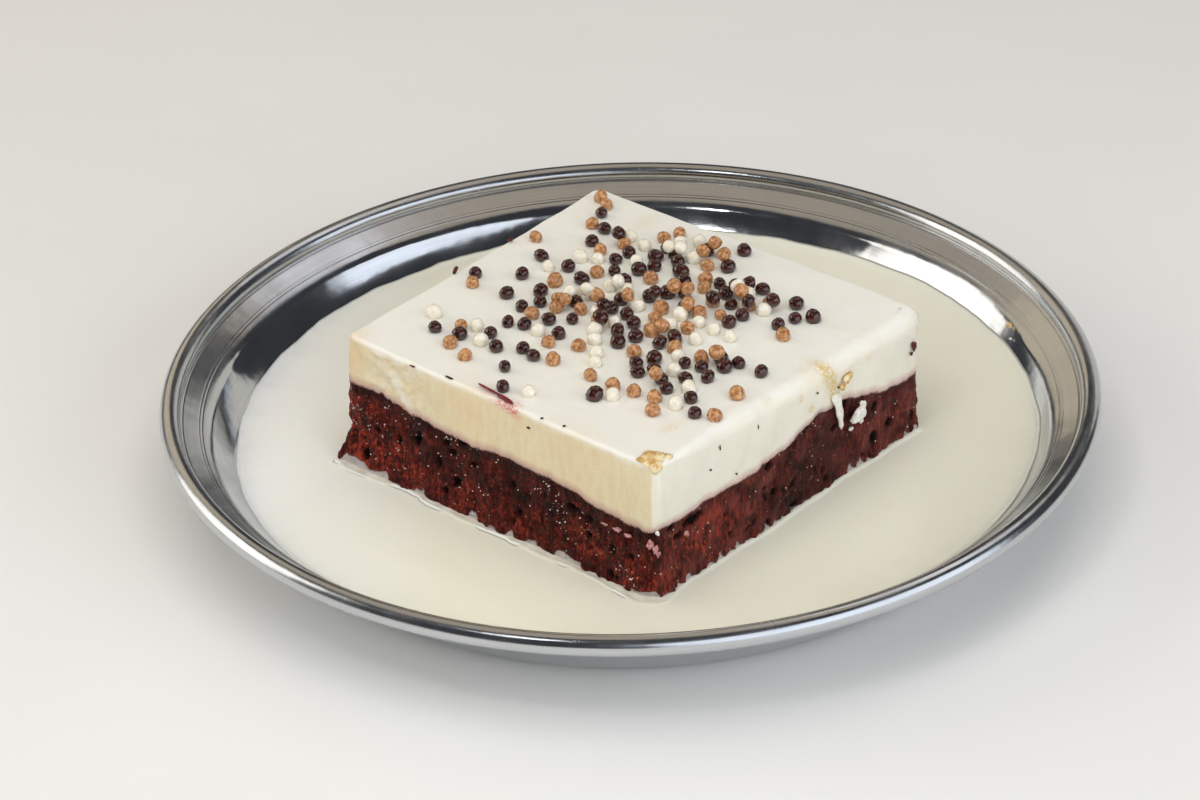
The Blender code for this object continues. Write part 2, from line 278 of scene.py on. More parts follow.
@dataclass(frozen=True)
class Station:
    """The cake's outline at one level, in millimetres: corners and fillets, and its waves."""

    level: float
    corners: tuple
    fillets: tuple
    wave: float


STATIONS = (
    Station(0.0, FOOT_CORNERS, (5.0, 1.6, 3.0, 2.0), 0.5),
    Station(0.3, FOOT_CORNERS, (5.0, 1.6, 3.0, 2.0), 0.5),
    Station(0.6, ((-49.8, -49.6), (37.6, -49.3), (37.8, 41.6), (-48.3, 37.0)), (4.5, 1.6, 3.0, 2.0), 0.45),
    Station(1.0, ((-49.7, -49.6), (37.7, -49.2), (37.6, 41.3), (-48.1, 36.7)), (4.0, 2.2, 2.5, 2.0), 0.35),
    Station(1.2, ((-49.8, -49.9), (37.9, -49.4), (37.5, 41.1), (-48.0, 36.5)), (1.8, 3.0, 2.0, 1.5), 0.2),
    Station(2.0, ((-49.5, -50.0), (38.6, -49.6), (36.2, 40.0), (-47.6, 36.0)), (1.8, 4.0, 2.0, 1.5), 0.2),
)


@dataclass(frozen=True)
class CakeForm:
    """The form that sponge and cream share: the outline at each level, the seam and the top.

    Attributes:
        stations: Outlines at the levels 0 (foot), 1 (seam) and 2 (top), and between.
        middle: The cake's middle in plan.
        half: Half its width, on which walls are moved in and out.
        hump: The seam's swell behind the -Y face: height, middle in X, width and reach.
        top_ripple: Height in millimetres, and rate and start of a sine along X and along Y.
        wall_waves: Share, count round the cake, twist with the level and start of each wave.
    """

    stations: tuple = STATIONS
    middle: tuple = (-6.0 * MM, -4.9 * MM)
    half: float = 43.5 * MM
    seam_heights: tuple = (27.3, 24.4, 27.0, 30.1)
    top_heights: tuple = (42.5, 39.3, 39.5, 41.0)
    hump: tuple = (4.2 * MM, 7.0 * MM, 16.0 * MM, 24.0 * MM)
    top_ripple: tuple = (0.3, 70.0, 1.0, 60.0, 1.57)
    seam_ripple: tuple = (0.6, 160.0, 0.0, 130.0, 0.7)
    wall_waves: tuple = ((0.6, 9.0, 2.0, 0.0), (0.4, 23.0, 5.0, 1.0))
    ragged_seam: Rough = Rough(0.35, 2.6, 3, 41)
    crisp_edge: float = 0.9 * MM
    soft_edge: float = 3.2 * MM
    soft_start: float = -48.0 * MM
    soft_run: float = 22.0 * MM
    arc_marks: int = 2
    side_marks: int = 10

    def station_values(self, name: str, levels: np.ndarray) -> np.ndarray:
        """Return one of the stations' fields at each level, drawn straight between stations."""
        table = np.array([getattr(station, name) for station in self.stations], float)
        known = [station.level for station in self.stations]
        flat = table.reshape(len(known), -1)
        drawn = np.stack([np.interp(levels, known, column) for column in flat.T], -1)
        return drawn.reshape(len(levels), *table.shape[1:])

    def marks_round(self, per_side: int, per_arc: int) -> np.ndarray:
        """Return marks round the outline, from the middle of the front corner's arc.

        Each corner takes arc_marks of the scale and each side side_marks. A side of the grid
        is half an arc, a straight side and half an arc.
        """
        block, half_arc = self.arc_marks + self.side_marks, self.arc_marks / 2
        parts = (
            (half_arc, self.arc_marks, per_arc),
            (self.arc_marks, block, per_side - 2 * per_arc),
            (block, block + half_arc, per_arc),
        )
        side = np.concatenate([np.linspace(*part, endpoint=False) for part in parts])
        return np.concatenate([side + block * index for index in range(4)])

    def outline(self, levels, marks: np.ndarray) -> np.ndarray:
        """Return the outline's plan at each level and mark, (levels, marks, 2).

        A corner is a quarter turn of its fillet and a side runs straight to the next fillet.
        """
        levels = np.asarray(levels, float)
        block = self.arc_marks + self.side_marks
        corners = self.station_values("corners", levels) * MM
        fillets = self.station_values("fillets", levels)[..., None] * MM
        marks = marks % (4 * block)
        plan = np.empty((len(levels), len(marks), 2))
        for index in range(4):
            following = (index + 1) % 4
            to_last = unit(corners[:, index - 1] - corners[:, index])[:, None]
            to_next = unit(corners[:, following] - corners[:, index])[:, None]
            corner, fillet = corners[:, index, None], fillets[:, index, None]
            here = (marks >= block * index) & (marks < block * (index + 1))
            local = (marks[here] - block * index)[None, :, None]
            angle = np.pi / 2 * local / self.arc_marks
            arc = corner + (to_last + to_next) * fillet
            arc = arc - (to_next * np.cos(angle) + to_last * np.sin(angle)) * fillet
            start = corner + to_next * fillet
            end = corners[:, following, None] - to_next * fillets[:, following, None]
            side = start + (end - start) * (local - self.arc_marks) / self.side_marks
            plan[:, here] = np.where(local <= self.arc_marks, arc, side)
        turn = math.tau * marks / (4 * block)
        wave = sum(
            share * np.sin(waves * turn + twist * levels[:, None] + start)
            for share, waves, twist, start in self.wall_waves
        )
        return self.moved_out(plan, self.station_values("wave", levels)[:, None] * MM * wave)

    def moved_out(self, plan: np.ndarray, distance) -> np.ndarray:
        """Move plan points away from the cake's middle, measured on the square."""
        middle = np.array(self.middle)
        return middle + (plan - middle) * (1.0 + np.asarray(distance)[..., None] / self.half)

    def towards(self, points: np.ndarray) -> tuple[np.ndarray, np.ndarray]:
        """Return how far points lie towards -X and towards -Y: 1 on that face's side of the square."""
        off = points[..., :2] - np.array(self.middle)
        share = -off / np.abs(off).max(-1, keepdims=True)
        return share[..., 0], share[..., 1]

    def blend(self, heights: tuple, x, y):
        """Return the height on the sheet stretched between four corner heights."""
        front, right, back, left = (height * MM for height in heights)
        across = (x - self.middle[0]) / self.half * 0.5 + 0.5
        along = (y - self.middle[1]) / self.half * 0.5 + 0.5
        near = front + (right - front) * across
        return near + (left + (back - left) * across - near) * along

    def ripple(self, ripple: tuple, x, y):
        """Return how far a low wave stands up: its height times a sine along X and one along Y."""
        height, rate_x, start_x, rate_y, start_y = ripple
        return height * MM * np.sin(rate_x * x + start_x) * np.sin(rate_y * y + start_y)

    def top(self, x, y):
        """Return the height of the cream's top."""
        return self.blend(self.top_heights, x, y) + self.ripple(self.top_ripple, x, y)

    def seam(self, x, y):
        """Return the height of the seam, with the hump behind the -Y face."""
        height, hump_x, width, reach = self.hump
        swell = height * bell(x, hump_x, width) * bell(y, self.middle[1] - self.half, reach)
        return self.blend(self.seam_heights, x, y) + swell + self.ripple(self.seam_ripple, x, y)

    def fine_seam(self, plan: np.ndarray) -> np.ndarray:
        """Return the seam with the small ragged waves of a wet edge."""
        return self.seam(plan[..., 0], plan[..., 1]) + MM * self.ragged_seam.over(level_points(plan[..., :2]))

    def edge_radius(self, plan: np.ndarray) -> np.ndarray:
        """Return the rounding of the top edge, which softens along the -Y face."""
        near = np.maximum(0.0, self.towards(plan)[1])
        along = np.clip((plan[..., 0] - self.soft_start) / self.soft_run, 0.0, 1.0)
        return self.crisp_edge + (self.soft_edge - self.crisp_edge) * along * near ** 6


@dataclass(frozen=True)
class Finish:
    """A surface finish: its name and how rough it is. Each kind adds its own nodes."""

    name: str
    roughness: float = 0.5

    def build(self) -> bpy.types.Material:
        """Return the finish's material."""
        material = bpy.data.materials.new(self.name)
        material.use_nodes = True
        tree = material.node_tree
        node = partial(add_node, tree)
        looks = self.looks(node, node("TexCoord", output="Object"))
        fill(tree, tree.nodes["Principled BSDF"], {"Roughness": self.roughness, **looks})
        return material

    def looks(self, node: Callable, place: bpy.types.NodeSocket) -> dict:
        """Return what the shader takes, by socket name.

        Args:
            node: Adds a node to the material's tree.
            place: Object coordinates.

        Returns:
            Values and source sockets. They replace the finish's own roughness where they hold one.
        """
        return {}


@dataclass(frozen=True)
class PressedSteel(Finish):
    """Stainless steel, pressed and spun: a grey mirror with fine rings, smears and soft dents.

    The press left the bevel and the rolled rim satin. The wall is polished.

    Attributes:
        bevel_mm: Radii over which the satin sets in.
        satin: What it adds to the roughness.
        drift: How fast the rings change along X, Y and Z besides.
    """

    colour: str = "d3d5d7"
    shade: str = "bcbfc1"
    ring_mm: float = 0.35
    smear_mm: float = 14.0
    dent_mm: float = 9.0
    bevel_mm: tuple = (89.5, 90.5)
    satin: float = 0.1
    drift: tuple = (0.02, 0.02, 0.02)

    def looks(self, node: Callable, place: bpy.types.NodeSocket) -> dict:
        """Return the steel's tone, roughness and relief."""
        flat = node("VectorMath", {"operation": "MULTIPLY", 0: place, 1: (1.0, 1.0, 0.0)})
        radius = node("VectorMath", {"operation": "LENGTH", 0: flat}, "Value")
        # Rings of the spinning tool: noise that changes fast with radius and height and slowly round
        rings = node("CombineXYZ", {0: radius, 1: node("SeparateXYZ", {0: place}, "Z")})
        slow = node("VectorMath", {"operation": "MULTIPLY_ADD", 0: place, 1: self.drift, 2: rings})
        brushed, dents, smears = (
            node("TexNoise", {"Scale": per_size(size), "Detail": detail, "Vector": source}, "Fac")
            for size, detail, source in (
                (self.ring_mm, 3.0, slow), (self.dent_mm, 2.0, place), (self.smear_mm, 5.0, place)))
        polished = node("MapRange", {
            "From Min": 0.3, "From Max": 0.7,
            "To Min": self.roughness - 0.04, "To Max": self.roughness + 0.08, "Value": smears})
        inner, outer = (edge * MM for edge in self.bevel_mm)
        satin = node("MapRange", {
            "From Min": inner, "From Max": outer, "To Max": self.satin, "Value": radius})
        fine = node("Bump", {"Strength": 0.12, "Distance": 0.02 * MM, "Height": brushed})
        return {
            "Metallic": 1.0,
            "Base Color": node("Mix", {
                "data_type": "RGBA", 0: brushed, 6: linear(self.shade), 7: linear(self.colour)}, 2),
            "Roughness": node("Math", {"operation": "ADD", 0: satin, 1: polished}),
            "Normal": node("Bump", {"Strength": 0.4, "Distance": 0.35 * MM, "Height": dents, "Normal": fine}),
        }


@dataclass(frozen=True)
class SweetMilk(Finish):
    """Sweet milk: opaque, cream-white, light scattered inside, and wet, with painted light that makes it
    whiter to one side.
    """

    # The whiter tone towards the view's left: painted light and reflection.
    colour: str = "f7f8f4"
    thick: str = "f0edd9"
    film: str = "cdc3b2"
    # Painted shadow and painted highlight along the film's outer edge.
    shadow: str = "6b5f52"
    glint: str = "ffffff"
    cloud_mm: float = 28.0
    cloud_reach_mm: float = 20.0
    painted_light_side: tuple = (-0.668, 0.744, 0.0)
    painted_light_mm: tuple = (50.0, 92.0)

    def looks(self, node: Callable, place: bpy.types.NodeSocket) -> dict:
        """Return the milk's tone and scattering.

        The mark "film" is 1 where crumbs show through a thin film. "line" is 1 on the film's
        outer edge, a painted highlight, and below 0 just past it, a painted shadow.
        """
        film, line = (node("Attribute", {"attribute_name": name}, "Fac") for name in ("film", "line"))
        cloud = node("TexNoise", {"Scale": per_size(self.cloud_mm), "Detail": 2.0, "Vector": place}, "Fac")
        # Painted light and reflection: the tone turns whiter towards the view's left.
        aside = node("VectorMath", {"operation": "DOT_PRODUCT", 0: place, 1: self.painted_light_side}, "Value")
        patchy = node("Math", {"operation": "MULTIPLY_ADD", 0: cloud, 1: self.cloud_reach_mm * MM, 2: aside})
        start, end = (edge * MM for edge in self.painted_light_mm)
        painted_light = node("MapRange", {"From Min": start, "From Max": end, "Value": patchy})
        # Painted shadow just past the film's edge, then the painted highlight on it.
        shaded = node("MapRange", {"From Max": -1.0, "To Max": 0.85, "Value": line})
        tone = linear(self.thick)
        layers = ((painted_light, self.colour), (film, self.film), (shaded, self.shadow), (line, self.glint))
        for share, colour in layers:
            tone = node("Mix", {"data_type": "RGBA", 0: share, 6: tone, 7: linear(colour)}, 2)
        return {
            "Base Color": tone,
            "IOR": 1.35,
            "Subsurface Weight": 0.3,
            "Subsurface Radius": (2.4, 1.9, 1.4),
            "Subsurface Scale": MM,
        }


@dataclass(frozen=True)
class RedCrumb(Finish):
    """Baked red sponge, cut with a knife: dark open crumb, wet with milk at its foot."""

    dark: str = "200705"
    body: str = "57150d"
    bright: str = "983c2a"
    dusty: str = "74403a"
    # Painted highlight: orange-red on the brightest grain tops in the ember blobs.
    highlight_red: str = "a83c24"
    # Painted shade: the dark band below the seam, under the cream's edge.
    wet: str = "160605"
    # Painted shade in pits and holes.
    deep: str = "0e0403"
    bled: str = "a9736c"
    damp: str = "7d5452"
    milky: str = "cfc6c2"
    crumb_mm: float = 1.0
    grain_mm: float = 0.8
    fibre_mm: float = 0.6
    patch_mm: float = 5.0
    fibre_lean: float = math.radians(24.0)
    fibre_stretch: float = 0.16
    lit_range: tuple = (1.3, 1.9)
    glow_range: tuple = (1.8, 2.35)
    highlight_range: tuple = (1.6, 2.2)

    def looks(self, node: Callable, place: bpy.types.NodeSocket) -> dict:
        """Return the sponge's tone, roughness and relief.

        The marks are "pit" (0 to 1 in holes and darker patches, painted shade), "soak" (millimetres above
        the milky edge), "below" (millimetres below the seam), "rose" (1 on the -Y face, which is drier and
        greyer) and "ember" (1 where the crumb is painted redder and brighter, as painted highlight).
        """
        pit, soak, below, rose, ember = (
            node("Attribute", {"attribute_name": name}, "Fac")
            for name in ("pit", "soak", "below", "rose", "ember"))
        # Fibres that the knife drew on the -Y face, leaning to the right
        lean = node("Mapping", {
            "Rotation": (0.0, self.fibre_lean, 0.0), "Scale": (1.0, 1.0, self.fibre_stretch), 0: place})
        crumbs, fibres, patches = (
            node("TexNoise", {
                "Scale": per_size(size), "Detail": detail, "Roughness": rough, "Vector": source}, "Fac")
            for size, detail, rough, source in (
                (self.crumb_mm, 6.0, 0.7, place), (self.fibre_mm, 4.0, 0.6, lean),
                (self.patch_mm, 5.0, 0.5, place)))
        # Grains of crumb: bright in the middle, dark between, each with its own brightness. As the grains are
        # also the relief, the dark between them is painted shade and the bright tops painted highlight
        away, colour = (
            node("TexVoronoi", {"Scale": per_size(self.grain_mm), "Vector": place}, output)
            for output in ("Distance", "Color"))
        middle, drawn, share, weaker, patch, crusty = (
            node("MapRange", {
                "From Min": start, "From Max": end, "To Min": low, "To Max": high, "Value": source})
            for source, start, end, low, high in (
                (away, 0.75, 0.05, 0.0, 0.5), (fibres, 0.39, 0.63, 0.0, 1.0), (rose, 0.0, 1.0, 0.35, 0.8),
                (rose, 0.0, 1.0, 1.0, 0.35), (patches, 0.38, 0.62, 0.1, 0.6), (crumbs, 0.4, 0.65, 0.3, 0.75)))
        own = node("SeparateColor", {0: colour})
        grains = node("Math", {"operation": "MULTIPLY_ADD", 0: own, 1: 0.4, 2: middle})
        grain = node("Mix", {"data_type": "FLOAT", 0: share, 2: grains, 3: drawn})
        for noise in (patches, crumbs):
            grain = node("Math", {"operation": "MULTIPLY_ADD", 0: noise, 1: 1.3, 2: grain})
        # The dark band under the seam, painted shade under the cream's edge; the pink line where the cream
        # bled; and the soaked foot
        uneven, ragged, edge = (
            node("Math", {"operation": "MULTIPLY_ADD", 0: crumbs, 1: swing, 2: distance})
            for swing, distance in ((1.6, below), (0.9, below), (0.5, soak)))
        lit, glow, grain_tops, seam_shade, bleed, damp, milky = (
            node("MapRange", {"From Min": start, "From Max": end, "To Max": most, "Value": source})
            for source, (start, end), most in (
                (grain, self.lit_range, 1.0), (grain, self.glow_range, 1.0), (grain, self.highlight_range, 1.0),
                (uneven, (4.4, 2.0), 0.66), (ragged, (0.75, 0.3), 0.7), (edge, (0.75, 0.35), 0.6),
                (edge, (0.37, 0.13), 1.0)))
        # Painted highlight on grain tops within the ember blobs; the seam's painted shade, weaker on the -Y
        # face.
        dust, highlight_share, wet = (
            node("Math", {"operation": "MULTIPLY", 0: one, 1: other})
            for one, other in ((patch, rose), (grain_tops, ember), (seam_shade, weaker)))
        tone = linear(self.dark)
        for share, colour in (
                (lit, self.body), (glow, self.bright), (dust, self.dusty), (highlight_share, self.highlight_red), (wet, self.wet),
                (pit, self.deep), (bleed, self.bled), (damp, self.damp), (milky, self.milky)):
            tone = node("Mix", {"data_type": "RGBA", 0: share, 6: tone, 7: linear(colour)}, 2)
        return {
            "Base Color": tone,
            "Roughness": crusty,
            "Specular IOR Level": 0.15,
            "Normal": node("Bump", {"Strength": 0.9, "Distance": 0.3 * MM, "Height": grain}),
        }


@dataclass(frozen=True)
class SetCream(Finish):
    """Set whipped cream: satin white on top, yellower where the knife has cut it."""

    top: str = "f6f4ea"
    hollow: str = "f0ede0"
    cut: str = "efe2c0"
    cut_shade: str = "e6d4aa"
    peach: str = "eccda4"
    tan: str = "dcc38a"
    blush: str = "d77c72"
    pink: str = "bd8c88"
    crumb: str = "5a2c28"
    cloud_mm: float = 7.0
    grain_mm: float = 0.55
    streak_mm: float = 1.5
    streak_stretch: float = 0.28

    def looks(self, node: Callable, place: bpy.types.NodeSocket) -> dict:
        """Return the cream's tone, scattering and relief.

        The marks are "cut" (1 on the -X face, less on the others), "above" (millimetres above
        the seam), "tan" (stains), "blush" (pink) and "peach".
        """
        cut, above, tan, blush, peach = (
            node("Attribute", {"attribute_name": name}, "Fac")
            for name in ("cut", "above", "tan", "blush", "peach"))
        drawn = node("Mapping", {"Scale": (1.0, 1.0, self.streak_stretch), 0: place})
        soft, fine, streaks = (
            node("TexNoise", {
                "Scale": per_size(size), "Detail": 4.0, "Roughness": rough, "Vector": source}, "Fac")
            for size, rough, source in (
                (self.cloud_mm, 0.5, place), (self.grain_mm, 0.7, place), (self.streak_mm, 0.5, drawn)))
        drag = node("Math", {"operation": "ADD", 0: streaks, 1: fine})
        # Pink where the red sponge has bled into the cream, and its crumb at the very edge
        height = node("Math", {"operation": "MULTIPLY_ADD", 0: fine, 1: -1.6, 2: above})
        knife, grainy, pink, red, depth = (
            node("MapRange", {
                "From Min": start, "From Max": end, "To Min": low, "To Max": high, "Value": source})
            for source, start, end, low, high in (
                (drag, 0.75, 1.2, 0.0, 1.0), (fine, 0.35, 0.65, 0.0, 1.0), (height, 1.35, -0.8, 0.0, 0.85),
                (height, -0.45, -0.85, 0.0, 0.9), (cut, 0.0, 1.0, 0.25, 0.75)))
        stain, flush = (
            node("Math", {"operation": "MULTIPLY", 0: mark, 1: grainy, "use_clamp": True})
            for mark in (tan, blush))
        pale, side = (
            node("Mix", {"data_type": "RGBA", 0: share, 6: linear(low), 7: linear(high)}, 2)
            for share, low, high in ((soft, self.hollow, self.top), (knife, self.cut_shade, self.cut)))
        tone = node("Mix", {"data_type": "RGBA", 0: cut, 6: pale, 7: side}, 2)
        for share, colour in (
                (peach, self.peach), (stain, self.tan), (flush, self.blush), (pink, self.pink),
                (red, self.crumb)):
            tone = node("Mix", {"data_type": "RGBA", 0: share, 6: tone, 7: linear(colour)}, 2)
        half_cut = node("Math", {"operation": "MULTIPLY", 0: cut, 1: 0.4})
        grain = node("Mix", {"data_type": "FLOAT", 0: half_cut, 2: fine, 3: streaks})
        return {
            "Base Color": tone,
            "Subsurface Weight": 0.25,
            "Subsurface Radius": (1.6, 1.3, 0.9),
            "Subsurface Scale": MM,
            "IOR": 1.4,
            "Normal": node("Bump", {"Strength": depth, "Distance": 0.14 * MM, "Height": grain}),
        }


@dataclass(frozen=True)
class Mottled(Finish):
    """Two tones that blend by a noise, which may also raise the surface.

    Attributes:
        cell_mm: Size of the noise's cells.
        relief_mm: Height of the bumps, 0 for none.
        spread: The noise's values where the shade and where the colour are pure.
    """

    colour: str = "ffffff"
    shade: str = "cccccc"
    cell_mm: float = 0.9
    relief_mm: float = 0.0
    detail: float = 4.0
    spread: tuple = (0.35, 0.65)

    def looks(self, node: Callable, place: bpy.types.NodeSocket) -> dict:
        """Return the blended tone, and the relief where there is one."""
        low, high = self.spread
        noise = node("TexNoise", {
            "Scale": per_size(self.cell_mm), "Detail": self.detail, "Vector": place}, "Fac")
        share = node("MapRange", {"From Min": low, "From Max": high, "Value": noise})
        looks = {"Base Color": node("Mix", {
            "data_type": "RGBA", 0: share, 6: linear(self.shade), 7: linear(self.colour)}, 2)}
        if self.relief_mm:
            looks["Normal"] = node("Bump", {
                "Strength": 0.5, "Distance": self.relief_mm * MM, "Height": noise})
        return looks


@dataclass(frozen=True)
class ChocolateGlaze(Mottled):
    """Chocolate on a crisp pearl: a polished shell, a little mottled and lumpy."""

    relief_mm: float = 0.12

    def looks(self, node: Callable, place: bpy.types.NodeSocket) -> dict:
        """Return the glaze's mottled tone and relief under a clear polish."""
        return {**super().looks(node, place), "IOR": 1.55, "Coat Weight": 0.5, "Coat Roughness": 0.1}


@dataclass(frozen=True)
class CrumbFlesh(Mottled):
    """A loose crumb or scrap: two-toned and grainy, matt when dry and shiny when wet."""

    relief_mm: float = 0.15
    detail: float = 5.0
    spread: tuple = (0.38, 0.62)


@dataclass(frozen=True)
class PaintedBoard(Mottled):
    """A smooth board painted pale grey, matt."""

    colour: str = "f3f2ee"
    shade: str = "edece8"
    cell_mm: float = 60.0
    detail: float = 2.0
    spread: tuple = (0.0, 1.0)


@dataclass
class SteelPlate:
    """The pressed steel plate: floor, cove, wall, bevel and rolled rim, turned about Z.

    Attributes:
        crease: Radius and height of the crease between wall and bevel.
        slope: The wall's angle from level.
        hollow: How far the wall sinks between hollow_from and the crease.
        grooves: Share along the bevel and depth in millimetres of each fine groove.
    """

    radius: float = 100.0 * MM
    height: float = 22.0 * MM
    sheet: float = 0.9 * MM
    bead: float = 2.2 * MM
    bead_start: float = math.radians(200.0)
    bead_end: float = math.radians(-136.8)
    crease: tuple = (89.8 * MM, 15.8 * MM)
    slope: float = math.radians(50.4)
    cove: float = 6.0 * MM
    crease_round: float = 1.2 * MM
    hollow: float = 0.19 * MM
    hollow_from: float = 9.4 * MM
    grooves: tuple = ((0.07, 0.05), (0.2, 0.03), (0.9, 0.06))
    groove_width: float = 0.025
    floor_rings: int = 12
    cove_rings: int = 14
    wall_rings: int = 14
    crease_rings: int = 7
    bevel_rings: int = 60
    bead_rings: int = 40
    sides: int = 360
    finish: Finish = field(default_factory=lambda: PressedSteel("Pressed stainless steel", 0.11))

    def wall_radius(self, height) -> np.ndarray:
        """Return the inner wall's radius at a height: a straight line down from the crease."""
        return self.crease[0] - (self.crease[1] - height) / math.tan(self.slope)

    def bead_points(self, steps: int) -> np.ndarray:
        """Return the rolled rim's section: an arc about the bead's middle."""
        angle = np.linspace(self.bead_start, self.bead_end, steps)
        middle = np.array([self.radius - self.bead, self.height - self.bead])
        return middle + self.bead * np.stack([np.cos(angle), np.sin(angle)], -1)

    def floor_and_cove(self, offset: float) -> np.ndarray:
        """Return the section from the middle to the top of the cove, an arc from level to the slope."""
        foot = self.crease[1] - self.sheet - self.cove * (1.0 - math.cos(self.slope))
        floor = self.crease[0] - foot / math.tan(self.slope) - self.cove * math.sin(self.slope)
        angle = np.linspace(0.0, self.slope, self.cove_rings)
        bend = self.cove - offset
        arc = np.stack([floor + bend * np.sin(angle), self.sheet + self.cove - bend * np.cos(angle)], -1)
        rings = np.linspace(0.0, floor, self.floor_rings, endpoint=False)
        return np.concatenate([np.stack([rings, np.full_like(rings, self.sheet + offset)], -1), arc])

    def crease_curve(self, offset: float) -> np.ndarray:
        """Return the curve of the crease: three points blended by the squares of two shares."""
        run, rise = self.bead_points(2)[0] - np.array(self.crease)
        bevel = math.atan2(rise, run)
        share = offset / (1.0 + math.cos(self.slope - bevel))
        corner = np.array([
            self.crease[0] - share * (math.sin(self.slope) + math.sin(bevel)),
            self.crease[1] + share * (math.cos(self.slope) + math.cos(bevel)),
        ])
        before = corner - self.crease_round * np.array([math.cos(self.slope), math.sin(self.slope)])
        after = corner + self.crease_round * np.array([math.cos(bevel), math.sin(bevel)])
        part = np.linspace(0.0, 1.0, self.crease_rings)[:, None]
        return (1 - part) ** 2 * before + 2 * part * (1 - part) * corner + part ** 2 * after

    def inside(self, offset: float) -> np.ndarray:
        """Return the section from the floor's middle to the bevel, moved into the sheet.

        Over the milk the wall is a little hollow, by a parabola.
        """
        low, curve = self.floor_and_cove(offset), self.crease_curve(offset)
        top, before = low[-1], curve[0]
        start = top + (before - top) * (self.hollow_from - top[1]) / (before[1] - top[1])
        part = np.linspace(0.0, 1.0, self.wall_rings, endpoint=False)[:, None]
        outward = np.array([math.sin(self.slope), -math.cos(self.slope)])
        wall = start + (before - start) * part + outward * self.hollow * 4.0 * part * (1.0 - part)
        return np.concatenate([low, wall, curve])

    def bevel(self, start: np.ndarray, end: np.ndarray) -> np.ndarray:
        """Return the bevel's section, with the fine grooves that the spinning tool left along it."""
        part = np.linspace(0.0, 1.0, self.bevel_rings)[1:-1, None]
        depth = sum(deep * MM * bell(part, place, self.groove_width) for place, deep in self.grooves)
        across = unit(end - start)[::-1] * np.array([1.0, -1.0])
        return start + (end - start) * part + across * depth

    def build(self) -> bpy.types.Object:
        """Turn the section and put it in place of the plate's solid.

        A point of the section at radius r and height z goes to r times the cosine and the sine
        of each angle round Z. Both ends of the section are poles.
        """
        inner, bead = self.inside(0.0), self.bead_points(self.bead_rings)
        bevel = self.bevel(inner[-1], bead[0])
        section = np.concatenate([inner, bevel, bead, self.inside(-self.sheet)[::-1]])
        rings = section[1:-1]
        angle = np.linspace(0.0, math.tau, self.sides, endpoint=False)
        radius, height = rings[:, :1], np.repeat(rings[:, 1:], self.sides, 1)
        body = np.stack([radius * np.cos(angle), radius * np.sin(angle), height], -1).reshape(-1, 3)
        poles = np.array([[0.0, 0.0, section[0, 1]], [0.0, 0.0, section[-1, 1]]])
        count = len(body)
        faces = [
            grid_quads(len(rings), self.sides)[:, ::-1],
            fan(np.arange(self.sides), count),
            fan(np.arange(count - self.sides, count)[::-1], count + 1),
        ]
        thing = new_piece("steel_plate", np.concatenate([body, poles]), faces, self.finish.build())
        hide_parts("plate")
        return thing


